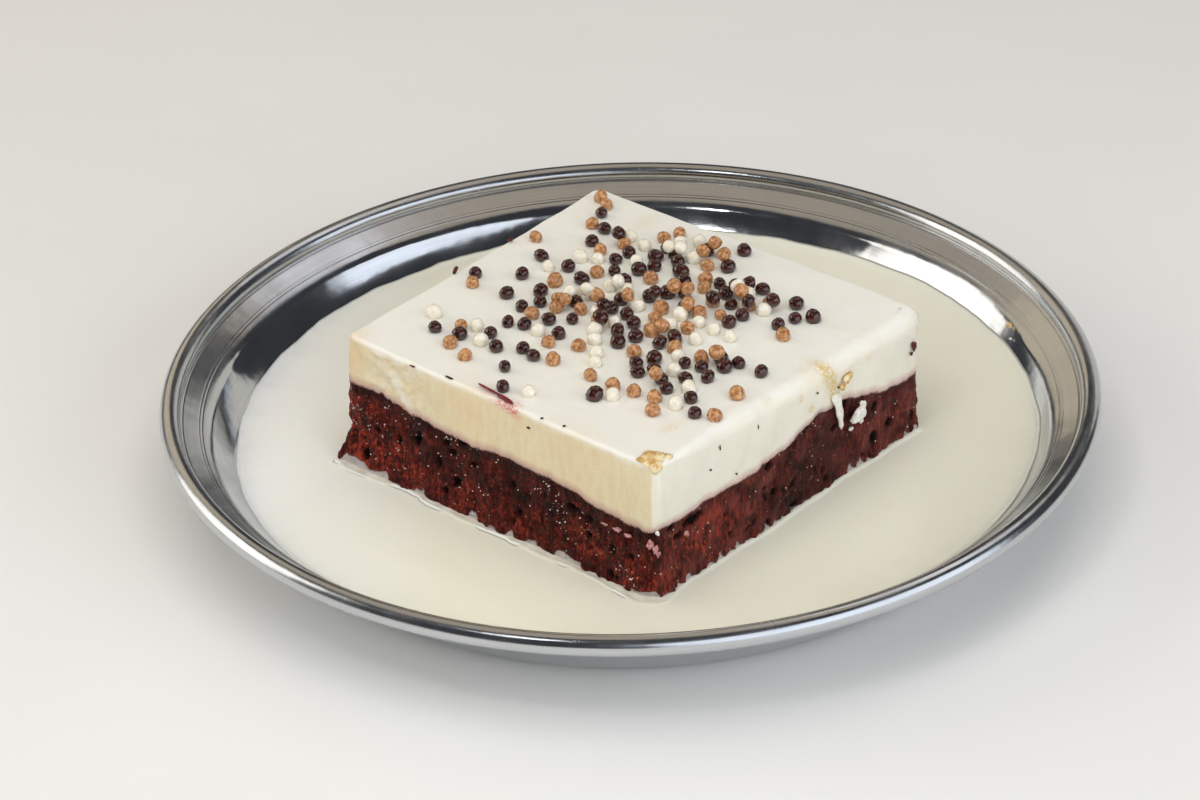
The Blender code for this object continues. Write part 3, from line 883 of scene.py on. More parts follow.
@dataclass
class MilkPool:
    """The pool of milk: level, with a ledge of wet film round the cake and a lip at the wall.

    Attributes:
        foot_level: Level of the cake's outline at the milk's surface.
        tilt: How much higher the edge lies towards the bearing tilt_towards.
        film_widths: Width of the film at each place along Y on the -X face, in millimetres.
        inside_film: Distances under the cake, in millimetres, where rows start.
        past_film: Distances past the film, in millimetres, where rows lie.
        bury: How far the pool reaches into the steel and under the floor's face.
    """

    cake: CakeForm
    plate: SteelPlate
    level: float = 10.4 * MM
    foot_level: float = 0.368
    per_side: int = 200
    tilt: float = 1.5 * MM
    tilt_towards: float = math.radians(-48.1)
    film_widths: tuple = (
        (-48.0, 0.9), (-43.9, 1.5), (-35.6, 1.3), (-26.8, 0.5), (-16.4, 0.9), (-8.6, 0.35), (1.7, 0.9),
        (10.5, 0.8), (17.7, 0.35), (26.2, 0.8), (33.0, 1.2), (38.0, 0.5),
    )
    inside_film: tuple = (-1.2, -0.5)
    film_rows: int = 9
    past_film: tuple = (0.05, 0.1, 0.18, 0.28, 0.4, 0.55, 0.75, 1.0, 1.4, 2.0, 3.0)
    edge_shares: tuple = (0.94, 0.965, 0.98, 0.99, 1.0)
    bury: float = 0.2 * MM
    floor_radius: float = 74.0 * MM
    uneven: Rough = Rough(0.3, 3.0, 3, 61)
    wet: Rough = Rough(0.08, 1.6, 2, 71)
    crumbs: Rough = Rough(0.35, 2.4, 2, 73)
    breaks: Rough = Rough(1.0, 5.0, 2, 75)
    lip: Rough = Rough(0.25, 9.0, 3, 83)
    finish: Finish = field(default_factory=lambda: SweetMilk("Sweet milk", 0.16))

    def near_rows(self, foot: np.ndarray) -> tuple[np.ndarray, np.ndarray, np.ndarray]:
        """Return the rows of points near the cake's foot and their marks "film" and "line".

        The film is wide and uneven on the -X face. A row lies at a share of the film's width or
        at a distance past it. The film ends in a small wet bead, and milk climbs the foot.
        """
        towards_x = smooth_step(0.75, 0.97, self.cake.towards(foot)[0])
        uneven = self.uneven.over(level_points(foot))
        known = np.interp(foot[:, 1] / MM, *np.array(self.film_widths).T)
        width = np.maximum(0.3, towards_x * (known + uneven)) * MM
        ledge = (0.08 + 0.26 * towards_x) * MM * (1.0 + uneven)
        before, after = [0.0] * len(self.inside_film), [1.0] * len(self.past_film)
        past = [*self.inside_film, *[0.0] * self.film_rows, *self.past_film]
        share = [*before, *np.linspace(0.0, 1.0, self.film_rows), *after]
        distance = np.array(past)[:, None] * MM + np.array(share)[:, None] * width
        plan = self.cake.moved_out(foot, distance)
        place = level_points(plan)
        beyond = (distance - width) / MM
        film = 1.0 - smooth_step(-0.1, 0.35, beyond)
        bead = 0.16 * bell(beyond, -0.05, 0.22) * (0.35 + 0.65 * towards_x)
        climb = 0.4 * np.exp(-np.maximum(distance, 0.0) / (0.45 * MM))
        height = self.level + film * (ledge + MM * self.wet.over(place)) + MM * (bead + climb)
        # Painted highlight on the film's outer edge and painted shadow just past it, for the mark "line".
        bright = bell(beyond, 0.05, 0.1) - 0.8 * bell(beyond, 0.3, 0.12)
        broken = smooth_step(-0.5, 0.4, self.breaks.over(level_points(foot, foot[:, 0])))
        films = film * towards_x * (0.75 + self.crumbs.over(place))
        return level_points(plan, height), films, bright * towards_x * broken

    def far_rows(self, last: np.ndarray) -> np.ndarray:
        """Return the rows from the last near row out to the wall, then the floor's ring.

        A row is blended straight to the wall's circle. The edge leans, is ragged and swells.
        """
        angle = np.arctan2(last[:, 1], last[:, 0])
        circle = np.stack([np.cos(angle), np.sin(angle)], -1)
        lift = MM * self.lip.over(level_points(circle * 85.0 * MM))
        lift = lift + self.tilt * np.cos(angle - self.tilt_towards)
        share = np.array([*np.linspace(0.04, 0.9, 26), *self.edge_shares])[:, None]
        height = self.level + lift * share ** 5 + 0.5 * MM * smooth_step(self.edge_shares[1], 1.0, share)
        edge = circle * (self.plate.wall_radius(self.level + lift) + self.bury)[:, None]
        plan = last + (edge - last) * share[..., None]
        plan[-1] = circle * (self.plate.wall_radius(height[-1]) + self.bury)[:, None]
        floor = level_points(circle * self.floor_radius, self.plate.sheet - self.bury)
        return np.concatenate([level_points(plan, height), floor[None]])

    def build(self) -> bpy.types.Object:
        """Carry the foot's outline out to the wall and close it underneath."""
        foot = self.cake.outline([self.foot_level], self.cake.marks_round(self.per_side, 4))[0]
        near, films, lines = self.near_rows(foot)
        inner = level_points(near[0, :, :2], self.plate.sheet - self.bury)
        rows = np.concatenate([near, self.far_rows(near[-1, :, :2]), inner[None]])
        count, across = rows.shape[:2]
        spare = np.zeros((count - len(near), across))
        ring = np.arange(across)
        faces = [grid_quads(count, across)[:, ::-1], bridge((count - 1) * across + ring, ring)[:, ::-1]]
        marks = {"film": np.concatenate([films, spare]), "line": np.concatenate([lines, spare])}
        thing = new_piece("milk_pool", rows.reshape(-1, 3), faces, self.finish.build(), marks)
        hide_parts("milk")
        return thing


@dataclass
class SpongeLayer:
    """The red sponge: cut walls with crumbs, grooves, pits and a ragged milky foot.

    Attributes:
        holes: Middle and half sizes along X, Y and Z of each large hole, in millimetres.
        embers: Blobs of redder, brighter crumb, painted highlight.
        dusks: Blobs of darker crumb.
        arch: Middle, half width and height in millimetres of the arch in the soaked edge.
    """

    cake: CakeForm
    foot: float = 1.2 * MM
    per_side: int = 236
    rows: int = 76
    pits: int = 260
    milk_level: float = 10.4 * MM
    holes: tuple = (
        (-48.6, 16.9, 22.7, 1.6, 1.2, 1.1), (-48.6, 7.9, 26.0, 1.5, 1.1, 0.8),
        (-48.6, 10.3, 20.5, 1.8, 0.8, 1.8), (-48.6, 5.7, 17.3, 1.7, 1.2, 1.0),
        (-48.6, -27.1, 24.2, 1.8, 1.6, 0.9), (-48.6, -31.0, 23.6, 1.5, 2.0, 0.6),
        (-48.6, -12.1, 17.1, 1.2, 0.7, 0.9), (-48.6, 22.2, 21.0, 1.2, 0.9, 0.8),
        (-48.6, -19.0, 19.0, 1.0, 0.5, 2.2), (-48.6, 0.5, 23.5, 1.2, 1.0, 0.6),
        (-37.6, -49.9, 24.4, 3.6, 1.9, 1.1), (-41.4, -49.9, 23.0, 2.2, 1.4, 0.9),
        (-20.6, -49.9, 14.3, 0.9, 1.0, 0.8), (-5.3, -49.9, 18.4, 0.9, 1.3, 1.1),
        (2.0, -49.9, 17.0, 0.7, 1.0, 1.4), (10.8, -49.9, 28.6, 1.3, 1.4, 2.2),
        (17.3, -49.9, 29.0, 0.8, 1.2, 1.6), (4.5, -49.9, 30.0, 1.4, 1.2, 0.8),
    )
    embers: tuple = (
        (-48.8, -45.0, 14.0, 5.5, 5.5, 5.5, 0.45), (-48.8, -38.0, 19.5, 5.0, 5.0, 5.0, 0.55),
        (-48.8, 24.0, 15.0, 6.0, 6.0, 6.0, 0.5), (-48.8, 33.0, 18.0, 8.0, 8.0, 8.0, 0.8),
        (-46.0, -49.9, 14.0, 5.0, 5.0, 5.0, 0.5), (-48.8, -24.0, 16.0, 6.0, 6.0, 6.0, 0.35),
        (-32.0, -49.9, 19.0, 8.0, 8.0, 8.0, 0.7), (-48.8, 2.0, 14.0, 6.0, 6.0, 6.0, 0.3),
    )
    dusks: tuple = (
        (-48.8, 12.0, 22.5, 9.0, 11.0, 3.4, 0.6), (-48.8, -12.0, 22.0, 9.0, 13.0, 2.8, 0.65),
        (-48.8, -29.0, 22.6, 9.0, 8.0, 2.4, 0.65), (-48.8, -20.0, 17.0, 9.0, 4.0, 3.5, 0.4),
        (3.0, -49.9, 20.0, 10.0, 9.0, 7.5, 0.85), (-6.0, -49.9, 15.0, 9.0, 9.0, 5.0, 0.6),
    )
    arch: tuple = (33.7, 4.6, 2.7)
    hole_edge: Rough = Rough(0.45, 1.1, 2, 19)
    teeth: Rough = Rough(1.0, 2.6, 1, 29)
    teeth_length: Rough = Rough(1.1, 4.1, 1, 30)
    teeth_edge: Rough = Rough(0.35, 0.9, 2, 33)
    saw_drift: Rough = Rough(0.4, 9.0, 1, 34)
    saw_gate: Rough = Rough(1.0, 5.0, 1, 35)
    crumb: Rough = Rough(0.34, 1.5, 3, 3)
    groove: Rough = Rough(0.28, 1.3, 2, 9)
    lumps: Rough = Rough(0.35, 6.0, 1, 15)
    columnar: Rough = Rough(0.4, 2.2, 1, 43)
    patchy: Rough = Rough(0.5, 2.4, 3, 53)
    finish: Finish = field(default_factory=lambda: RedCrumb("Red velvet sponge", 0.55))

    def wall(self) -> tuple[np.ndarray, np.ndarray]:
        """Return the wall's points, (rows, columns, 3), and its seam heights.

        Rows are spaced evenly from the foot to the fine seam.
        """
        levels = np.linspace(0.0, 1.0, self.rows)
        plan = self.cake.outline(levels, self.cake.marks_round(self.per_side, 6))
        seam = self.cake.fine_seam(plan) + 0.15 * MM
        return level_points(plan, self.foot + (seam - self.foot) * levels[:, None]), seam

    def pit_depth(self, flat: np.ndarray) -> np.ndarray:
        """Return how deep each wall point lies in a pit or hole.

        Each is a bowl: its depth times one minus the squared distance over its size.
        """
        draw = np.random.default_rng(23)
        depth = np.zeros(len(flat))
        for centre in draw.integers(0, len(flat), self.pits):
            radius = draw.uniform(0.45, 1.25) ** 1.3 * MM
            away = (flat - flat[centre]) / (radius * draw.uniform(0.8, 1.3, 3))
            bowl = np.maximum(0.0, 1.0 - (away ** 2).sum(-1))
            depth = np.maximum(depth, bowl ** 0.7 * radius * draw.uniform(0.7, 1.2))
        ragged = 1.0 + self.hole_edge.over(flat)
        for hole in np.array(self.holes):
            away = (flat / MM - hole[:3]) / hole[3:]
            bowl = np.maximum(0.0, 1.0 - (away ** 2).sum(-1) * ragged)
            depth = np.maximum(depth, bowl ** 0.5 * 1.3 * MM)
        return depth

    def soaked_height(self, flat: np.ndarray, on_x: np.ndarray, on_y: np.ndarray) -> np.ndarray:
        """Return how high, in millimetres over the milk, the milk has soaked the ragged foot.

        The -X face has blunt teeth with steep sides and an arch near its left corner. The -Y
        face has small teeth that lean to the right: a saw over x, thinned out by a noise.
        """
        low = flat * np.array([1.0, 1.0, 0.12])
        blocks = smooth_step(-0.1, 0.25, self.teeth.over(low))
        blunt = 0.3 + blocks * (1.7 + self.teeth_length.over(low)) + self.teeth_edge.over(flat)
        middle, half, height = self.arch
        arch = height * np.clip(1.0 - ((flat[:, 1] / MM - middle) / half) ** 2, 0.0, 1.0) ** 0.6
        lean = flat[:, 0] - 0.45 * (flat[:, 2] - self.milk_level)
        saw = 1.0 - (lean / (3.1 * MM) + self.saw_drift.over(low)) % 1.0
        leaning = 0.2 + 2.5 * saw ** 1.8 * smooth_step(-0.25, 0.5, self.saw_gate.over(low))
        others = np.clip(1.0 - on_x - on_y, 0.0, 1.0)
        return on_x * np.maximum(blunt, arch) + on_y * leaning + others * 0.5

    def relief(self, flat: np.ndarray, soak: np.ndarray, depth: np.ndarray, on_x: np.ndarray) -> np.ndarray:
        """Return how far each wall point is pushed out: crumb, grooves and lumps, less the pits.

        Everything fades towards the seam, and the soaked foot stands back.
        """
        slanted = flat * np.array([1.0, 1.0, 0.22]) + flat[:, 2:] * np.array([-0.35, -0.2, 0.0])
        columnar = self.columnar.over(flat * np.array([1.0, 1.0, 0.15]))
        columnar *= on_x * smooth_step(19.0 * MM, 13.0 * MM, flat[:, 2])
        near_seam = smooth_step(0.9, 1.0, np.repeat(np.linspace(0.0, 1.0, self.rows), len(flat) // self.rows))
        raised = self.crumb.over(flat) + self.groove.over(slanted) + self.lumps.over(flat) + columnar
        push = MM * raised * (1.0 - 0.6 * near_seam) - depth * (1.0 - near_seam ** 3)
        return push - 0.25 * MM - 0.5 * MM * smooth_step(0.25, -0.25, soak)

    def closed(self, wall: np.ndarray) -> tuple[np.ndarray, list]:
        """Return the wall's points with a floor and a roof added, and all faces."""
        cake, flat = self.cake, wall.reshape(-1, 3)
        rows, columns = wall.shape[:2]
        count, ring = len(flat), np.arange(columns)
        floor_plan = cake.moved_out(wall[0, :, :2], np.full(columns, -6.0 * MM))
        roof_plan = cake.moved_out(wall[-1, :, :2], np.full(columns, -2.0 * MM))
        roof_ring = level_points(roof_plan, cake.seam(*roof_plan.T) - 0.3 * MM)
        poles = [[*cake.middle, self.foot], [*cake.middle, float(cake.seam(*cake.middle)) - 0.3 * MM]]
        floor, roof = count + ring, count + columns + ring
        faces = [
            grid_quads(rows, columns),
            bridge(floor, ring),
            bridge(count - columns + ring, roof),
            fan(floor[::-1], count + 2 * columns),
            fan(roof, count + 2 * columns + 1),
        ]
        return np.concatenate([flat, level_points(floor_plan, self.foot), roof_ring, poles]), faces

    def build(self) -> bpy.types.Object:
        """Build the layer and put it in place of the sponge's solid."""
        wall, seam = self.wall()
        points, faces = self.closed(wall)
        flat = wall.reshape(-1, 3)
        spare = len(points) - len(flat)
        on_x, on_y = (smooth_step(0.93, 0.99, share) for share in self.cake.towards(flat))
        on_y = on_y * (1.0 - on_x)
        depth = self.pit_depth(flat)
        soak = (flat[:, 2] - self.milk_level) / MM - self.soaked_height(flat, on_x, on_y)
        # Painted shade: the mark "pit" darkens the crumb by the depth of pits and holes, and in darker
        # patches.
        dusk = (0.85 + self.patchy.over(flat)) * blobs(flat / MM, self.dusks)
        marks = {
            "pit": np.maximum(np.clip(depth / (0.65 * MM), 0.0, 1.0), np.clip(dusk, 0.0, 0.62)),
            "soak": soak,
            "below": (seam.ravel() - flat[:, 2]) / MM,
            "rose": on_y,
            # Painted highlight: redder, brighter crumb in the ember blobs.
            "ember": blobs(flat / MM, self.embers),
        }
        marks = {name: np.concatenate([values, np.ones(spare)]) for name, values in marks.items()}
        thing = new_piece("red_sponge", points, faces, self.finish.build(), marks)
        push_out(thing, np.concatenate([self.relief(flat, soak, depth, on_x), np.zeros(spare)]))
        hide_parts("sponge")
        return thing


@dataclass
class CreamLayer:
    """The set cream: a smooth top and cut walls with stains, smears and a crumbly patch.

    Attributes:
        stains: Blobs of each painted mark.
        crumbly: Middle and half width along Y, in millimetres, of the paler crumbly zone.
        patch: The same of the roughest zone.
    """

    cake: CakeForm
    per_side: int = 180
    wall_rows: int = 34
    edge_rows: int = 9
    stains: dict = field(default_factory=lambda: {
        "tan": (
            (5.2, -48.9, 38.8, 1.5, 3.5, 3.0, 2.0), (7.0, -49.9, 34.4, 1.2, 3.0, 4.0, 2.2),
            (1.5, -47.0, 39.3, 3.2, 3.0, 2.0, 0.5), (-0.3, -49.9, 32.9, 0.9, 3.0, 0.9, 1.7),
            (-3.9, -49.9, 37.0, 0.7, 3.0, 0.9, 1.5), (18.9, -49.9, 36.4, 1.0, 3.0, 1.2, 0.6),
            (30.3, 21.1, 39.5, 4.0, 2.5, 3.0, 0.5), (-12.9, -48.0, 40.5, 1.2, 1.2, 3.0, 0.7),
            (-34.8, -41.7, 42.0, 3.0, 1.6, 3.0, 0.6), (-48.4, 21.0, 38.0, 2.0, 8.0, 3.5, 0.35),
        ),
        "peach": (
            (-48.4, 37.0, 37.0, 5.0, 5.0, 8.0, 0.8), (-48.6, 2.0, 36.0, 5.0, 6.0, 7.0, 0.35),
            (-48.6, -28.0, 37.0, 5.0, 8.0, 8.0, 0.25),
        ),
        "blush": (
            (-48.0, -8.5, 41.2, 2.0, 3.0, 1.0, 1.2), (-48.3, -11.5, 40.6, 2.0, 1.8, 1.2, 1.2),
            (-47.6, -3.0, 41.7, 1.4, 2.5, 0.8, 0.5),
        ),
    })
    crumbly: tuple = (21.0, 6.5)
    patch: tuple = (22.0, 8.0)
    edge_wander: Rough = Rough(0.5, 2.5, 2, 47)
    pale_spots: Rough = Rough(1.0, 2.0, 3, 21)
    sway: Rough = Rough(0.1, 9.0, 1, 5)
    satin: Rough = Rough(0.03, 1.6, 2, 6)
    knife: Rough = Rough(0.05, 1.5, 3, 12)
    slump: Rough = Rough(0.28, 7.0, 2, 17)
    rough: Rough = Rough(0.6, 1.9, 3, 21)
    finish: Finish = field(default_factory=lambda: SetCream("Set cream", 0.42))

    def wall(self) -> np.ndarray:
        """Return the wall's points and those of the rounded top edge, (rows, columns, 3)."""
        cake = self.cake
        levels = np.linspace(1.0, 2.0, self.wall_rows)
        plan = cake.outline(levels, cake.marks_round(self.per_side, 5))
        rounding = cake.edge_radius(plan)
        seam = cake.fine_seam(plan) - 0.1 * MM
        shoulder = cake.top(plan[..., 0], plan[..., 1]) - rounding
        rows = [level_points(plan, seam + (shoulder - seam) * (levels - 1.0)[:, None])]
        for turn in np.radians(np.linspace(0.0, 90.0, self.edge_rows)[1:]):
            place = cake.moved_out(plan[-1], -rounding[-1] * (1.0 - math.cos(turn)))
            lift = cake.top(place[:, 0], place[:, 1]) - rounding[-1] * (1.0 - math.sin(turn))
            rows.append(level_points(place, lift)[None])
        return np.concatenate(rows)

    def top_patch(self, ring: np.ndarray, count: int) -> tuple[np.ndarray, np.ndarray]:
        """Return the top's inner points and the quads of its square grid.

        The plan of a point is the blend of the ring's opposite sides along both directions,
        less the blend of its four corners. Its height is the top's.
        """
        side = self.per_side
        edge = np.concatenate([ring, ring[:1]])
        low, right = edge[:side + 1], edge[side:2 * side + 1]
        high, left = edge[2 * side:3 * side + 1][::-1], edge[3 * side:][::-1]
        u = np.linspace(0.0, 1.0, side + 1)[:, None, None]
        v = np.linspace(0.0, 1.0, side + 1)[None, :, None]
        sheet = (1 - v) * low[:, None] + v * high[:, None] + (1 - u) * left[None] + u * right[None]
        sheet = sheet - (1 - u) * (1 - v) * low[0] - u * (1 - v) * low[-1]
        sheet = sheet - (1 - u) * v * high[0] - u * v * high[-1]
        inner = sheet[1:-1, 1:-1].reshape(-1, 2)
        numbers = np.empty((side + 1, side + 1), int)
        numbers[1:-1, 1:-1] = count + np.arange(len(inner)).reshape(side - 1, side - 1)
        first = count - 4 * side
        numbers[:, 0] = first + np.arange(side + 1)
        numbers[-1, :] = first + side + np.arange(side + 1)
        numbers[:, -1] = first + 2 * side + np.arange(side + 1)[::-1]
        numbers[0, 1:] = first + 3 * side + np.arange(side)[::-1]
        quads = [numbers[:-1, :-1], numbers[1:, :-1], numbers[1:, 1:], numbers[:-1, 1:]]
        return level_points(inner, self.cake.top(*inner.T)), np.stack(quads, -1).reshape(-1, 4)

    def build(self) -> bpy.types.Object:
        """Build the layer and put it in place of the cream's solid."""
        cake, wall = self.cake, self.wall()
        rows, columns = wall.shape[:2]
        count, ring = rows * columns, np.arange(columns)
        inner, quads = self.top_patch(wall[-1, :, :2], count)
        under = cake.moved_out(wall[0, :, :2], np.full(columns, -4.0 * MM))
        under = level_points(under, cake.seam(*under.T))
        pole = [[*cake.middle, float(cake.seam(*cake.middle))]]
        points = np.concatenate([wall.reshape(-1, 3), inner, under, pole])
        base = count + len(inner)
        faces = [
            grid_quads(rows, columns),
            quads,
            bridge(base + ring, ring),
            fan((base + ring)[::-1], base + columns),
        ]
        thing = new_piece("set_cream", points, faces, self.finish.build(), self.painted(points))
        push_out(thing, self.relief(points, base))
        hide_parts("cream")
        return thing

    def facing(self, points: np.ndarray) -> tuple[np.ndarray, np.ndarray, np.ndarray]:
        """Return how far each point is on the -X face, on the -Y face and on any wall."""
        below_top = (self.cake.top(points[:, 0], points[:, 1]) - points[:, 2]) / MM
        wall = smooth_step(0.1, 1.9, below_top + self.edge_wander.over(points))
        on_x, on_y = (smooth_step(0.985, 0.999, share) * wall for share in self.cake.towards(points))
        return on_x, on_y, wall

    def painted(self, points: np.ndarray) -> dict:
        """Return the marks that the finish reads: cut faces, height over the seam and stains."""
        on_x, on_y, wall = self.facing(points)
        rest = np.clip(wall - on_x - on_y, 0.0, 1.0)
        pale = bell(points[:, 1] / MM, *self.crumbly) * smooth_step(-0.3, 0.5, self.pale_spots.over(points))
        return {
            "cut": np.clip(on_x * (1.0 - 0.6 * pale) + 0.28 * on_y + 0.7 * rest, 0.0, 1.0),
            "above": (points[:, 2] - self.cake.fine_seam(points)) / MM,
            **{mark: blobs(points / MM, rows) for mark, rows in self.stains.items()},
        }

    def relief(self, points: np.ndarray, base: int) -> np.ndarray:
        """Return how far each point is pushed out: ripples, knife marks and the rough patch."""
        on_x, on_y, wall = self.facing(points)
        soft = self.sway.over(points) + self.satin.over(points)
        knife = self.knife.over(points * np.array([1.0, 1.0, 0.35]))
        rough = self.rough.over(points) * bell(points[:, 1] / MM, *self.patch)
        push = soft * (1.0 - wall) + knife * (wall - 0.6 * on_y) + rough * on_x
        push += self.slump.over(points) * on_y
        push[base:] = 0.0
        return push * MM


class CrumbKind(Enum):
    """What a loose bit is made of."""

    GOLDEN = "golden_crumbs"
    RED = "red_crumbs"
    CREAM = "cream_scraps"
    PINK = "pink_scraps"
    SPECK = "dark_specks"
    SMEAR = "red_smear"


@dataclass(frozen=True)
class Bits:
    """The loose bits of one kind: their finish, the divisions of their ball and their rows.

    A row is one bit in millimetres: its middle, its half sizes, how ragged it is and its turn.
    """

    finish: Finish
    divisions: int
    rows: tuple


@dataclass
class LooseBits:
    """Crumbs, flakes, scraps and specks that lie on the cake and on the plate."""

    kinds: dict = field(default_factory=lambda: {
        CrumbKind.GOLDEN: Bits(CrumbFlesh("Golden cake crumb", 0.55, "f0dfb2", "c8994f", 1.4), 3, (
            (-46.7, -47.2, 42.6, 2.7, 2.2, 0.5, 0.5, 0.7), (-48.2, -45.8, 42.4, 1.2, 1.5, 0.5, 0.5, 0.0),
            (-48.3, -49.2, 41.7, 1.2, 1.0, 1.2, 0.5, 0.0), (-44.6, -48.6, 42.3, 1.4, 1.0, 0.45, 0.5, 0.0),
            (11.2, -50.2, 35.3, 1.5, 0.6, 0.9, 0.45, 0.3), (9.3, -50.2, 34.0, 0.9, 0.5, 0.8, 0.4, 0.0),
            (77.6, -43.0, 15.2, 0.9, 0.8, 0.6, 0.3, 0.0),
        )),
        CrumbKind.RED: Bits(CrumbFlesh("Red cake crumb", 0.6, "6d2a22", "34120f", 0.5), 2, (
            (-12.7, 37.6, 40.7, 1.6, 0.45, 0.4, 0.3, 0.5), (4.8, 37.6, 40.5, 0.8, 0.5, 0.4, 0.4, 0.0),
            (33.9, -50.0, 32.4, 0.6, 0.4, 1.3, 0.4, 0.0), (33.0, -50.0, 31.0, 0.4, 0.3, 0.5, 0.4, 0.0),
            (2.4, -50.1, 30.2, 0.9, 0.4, 0.6, 0.4, 0.0),
        )),
        CrumbKind.CREAM: Bits(CrumbFlesh("Torn cream", 0.45, "f3f0e6", "dcd8ca", 0.8), 3, (
            (14.7, -50.5, 24.9, 2.2, 0.8, 1.7, 0.35, 0.0), (13.2, -50.4, 24.2, 1.1, 0.6, 0.7, 0.4, 0.0),
            (16.1, -50.4, 26.4, 0.7, 0.5, 1.3, 0.4, 0.0), (12.6, -50.0, 22.2, 0.5, 0.35, 0.45, 0.6, 0.0),
            (15.9, -50.0, 22.6, 0.4, 0.3, 0.5, 0.6, 0.0), (75.2, -45.2, 13.7, 0.35, 0.35, 0.3, 0.2, 0.0),
            (-48.4, -49.1, 26.6, 0.5, 0.5, 0.5, 0.3, 0.0),
        )),
        CrumbKind.PINK: Bits(CrumbFlesh(
            "Cream stained by the sponge", 0.5, "d7a6a2", "a5625c", 0.6), 3, (
            (-49.8, -48.4, 24.4, 0.6, 0.6, 0.9, 0.8, 0.0), (-49.3, -49.3, 23.2, 0.5, 0.5, 0.9, 0.8, 0.0),
            (-48.9, -49.7, 22.2, 0.4, 0.35, 0.7, 0.7, 0.0), (-49.7, -42.5, 24.0, 0.35, 0.7, 0.4, 0.7, 0.0),
            (-49.6, -39.5, 24.3, 0.35, 0.8, 0.35, 0.7, 0.0), (-49.5, -36.0, 24.2, 0.3, 0.6, 0.35, 0.7, 0.0),
            (-40.3, -49.8, 22.7, 0.7, 0.4, 0.5, 0.7, 0.0),
        )),
        CrumbKind.SPECK: Bits(CrumbFlesh("Dark speck", 0.6, "3a2a1e", "201510", 0.4), 2, (
            (-47.7, 6.9, 41.55, 0.25, 1.1, 0.2, 0.3, 0.0), (-48.8, -15.6, 38.6, 0.2, 0.5, 0.25, 0.3, 0.0),
            (-48.5, -19.2, 42.1, 0.4, 0.25, 0.2, 0.3, 0.0), (-48.1, -24.8, 42.2, 0.35, 0.3, 0.2, 0.3, 0.0),
            (-32.9, -50.1, 34.3, 0.22, 0.2, 0.22, 0.3, 0.0), (-24.9, -50.1, 29.5, 0.2, 0.2, 0.3, 0.3, 0.0),
            (-29.8, -50.0, 37.9, 0.15, 0.2, 0.6, 0.3, 0.0), (-17.8, -50.0, 37.1, 0.12, 0.2, 0.6, 0.3, 0.0),
            (1.3, -50.1, 36.2, 0.25, 0.2, 0.3, 0.3, 0.0), (7.9, -50.3, 34.6, 0.25, 0.2, 0.25, 0.3, 0.0),
        )),
        CrumbKind.SMEAR: Bits(CrumbFlesh("Dried red smear", 0.45, "8c2630", "4e131b", 0.6), 3, (
            (-46.7, -3.4, 42.05, 0.32, 3.2, 0.2, 0.4, -0.1), (-47.4, -8.2, 41.95, 0.55, 2.6, 0.25, 0.5, -0.2),
            (-48.3, 16.7, 40.9, 0.2, 0.7, 0.25, 0.4, 0.0),
        )),
    })
    first_seed: int = 11

    def shape(self, row: tuple, ball: np.ndarray, seed: int) -> np.ndarray:
        """Return a bit's points: the unit ball, made ragged, stretched, turned and placed."""
        *sizes, ragged, turn = row
        form = 1.0 + ragged * rough_noise(ball + seed * 3.7, 0.9, 2, seed)
        form = ball * form[:, None] * np.array(sizes[3:]) * MM
        cos, sin = math.cos(turn), math.sin(turn)
        turned = form @ np.array([[cos, sin, 0.0], [-sin, cos, 0.0], [0.0, 0.0, 1.0]])
        return turned + np.array(sizes[:3]) * MM

    def build(self) -> list:
        """Build one piece for each kind of bit."""
        made = []
        for kind, bits in self.kinds.items():
            ball, faces = unit_ball(bits.divisions)
            points = [self.shape(row, ball, self.first_seed + order) for order, row in enumerate(bits.rows)]
            order = repeated(faces, len(ball), len(points))
            thing = new_piece(kind.value, np.concatenate(points), [order], bits.finish.build())
            made.append(thing)
        return made


@dataclass
class CreamDrip:
    """A thin tongue of cream that has run down over the sponge on the -Y face."""

    path: tuple = (
        (7.4, -49.9, 33.0), (7.7, -50.3, 31.0), (7.9, -50.6, 29.0), (8.2, -50.6, 27.0),
        (8.6, -50.5, 25.2), (8.9, -50.3, 24.0),
    )
    widths: tuple = (1.3, 1.25, 1.0, 0.75, 0.6, 0.15)
    thickness: float = 0.55
    rows: int = 28
    sides: int = 14
    finish: Finish = field(default_factory=lambda: CrumbFlesh("Run cream", 0.35, "f4f1e6", "e2dccb", 1.2))

    def build(self) -> bpy.types.Object:
        """Carry an oval section along the path.

        A point is the path's place plus the width times the section's cosine sideways and the
        thickness times its sine outwards.
        """
        known = np.linspace(0.0, 1.0, len(self.path))
        share = np.linspace(0.0, 1.0, self.rows)
        spine = np.stack([np.interp(share, known, column) for column in np.array(self.path).T], -1)
        width = np.interp(share, known, self.widths) * (1.0 + 0.15 * np.sin(share * 17.0))
        angle = np.linspace(0.0, math.tau, self.sides, endpoint=False)
        depth = self.thickness * np.minimum(1.0, width / 0.8)
        points = np.repeat(spine[:, None], self.sides, 1)
        points[..., 0] += width[:, None] * np.cos(angle)
        points[..., 1] -= depth[:, None] * np.sin(angle)
        points = np.concatenate([points.reshape(-1, 3), spine[:1], spine[-1:]]) * MM
        count, ring = self.rows * self.sides, np.arange(self.sides)
        faces = [
            grid_quads(self.rows, self.sides),
            fan(ring[::-1], count),
            fan(count - self.sides + ring, count + 1),
        ]
        thing = new_piece("cream_drip", points, faces, self.finish.build())
        return thing


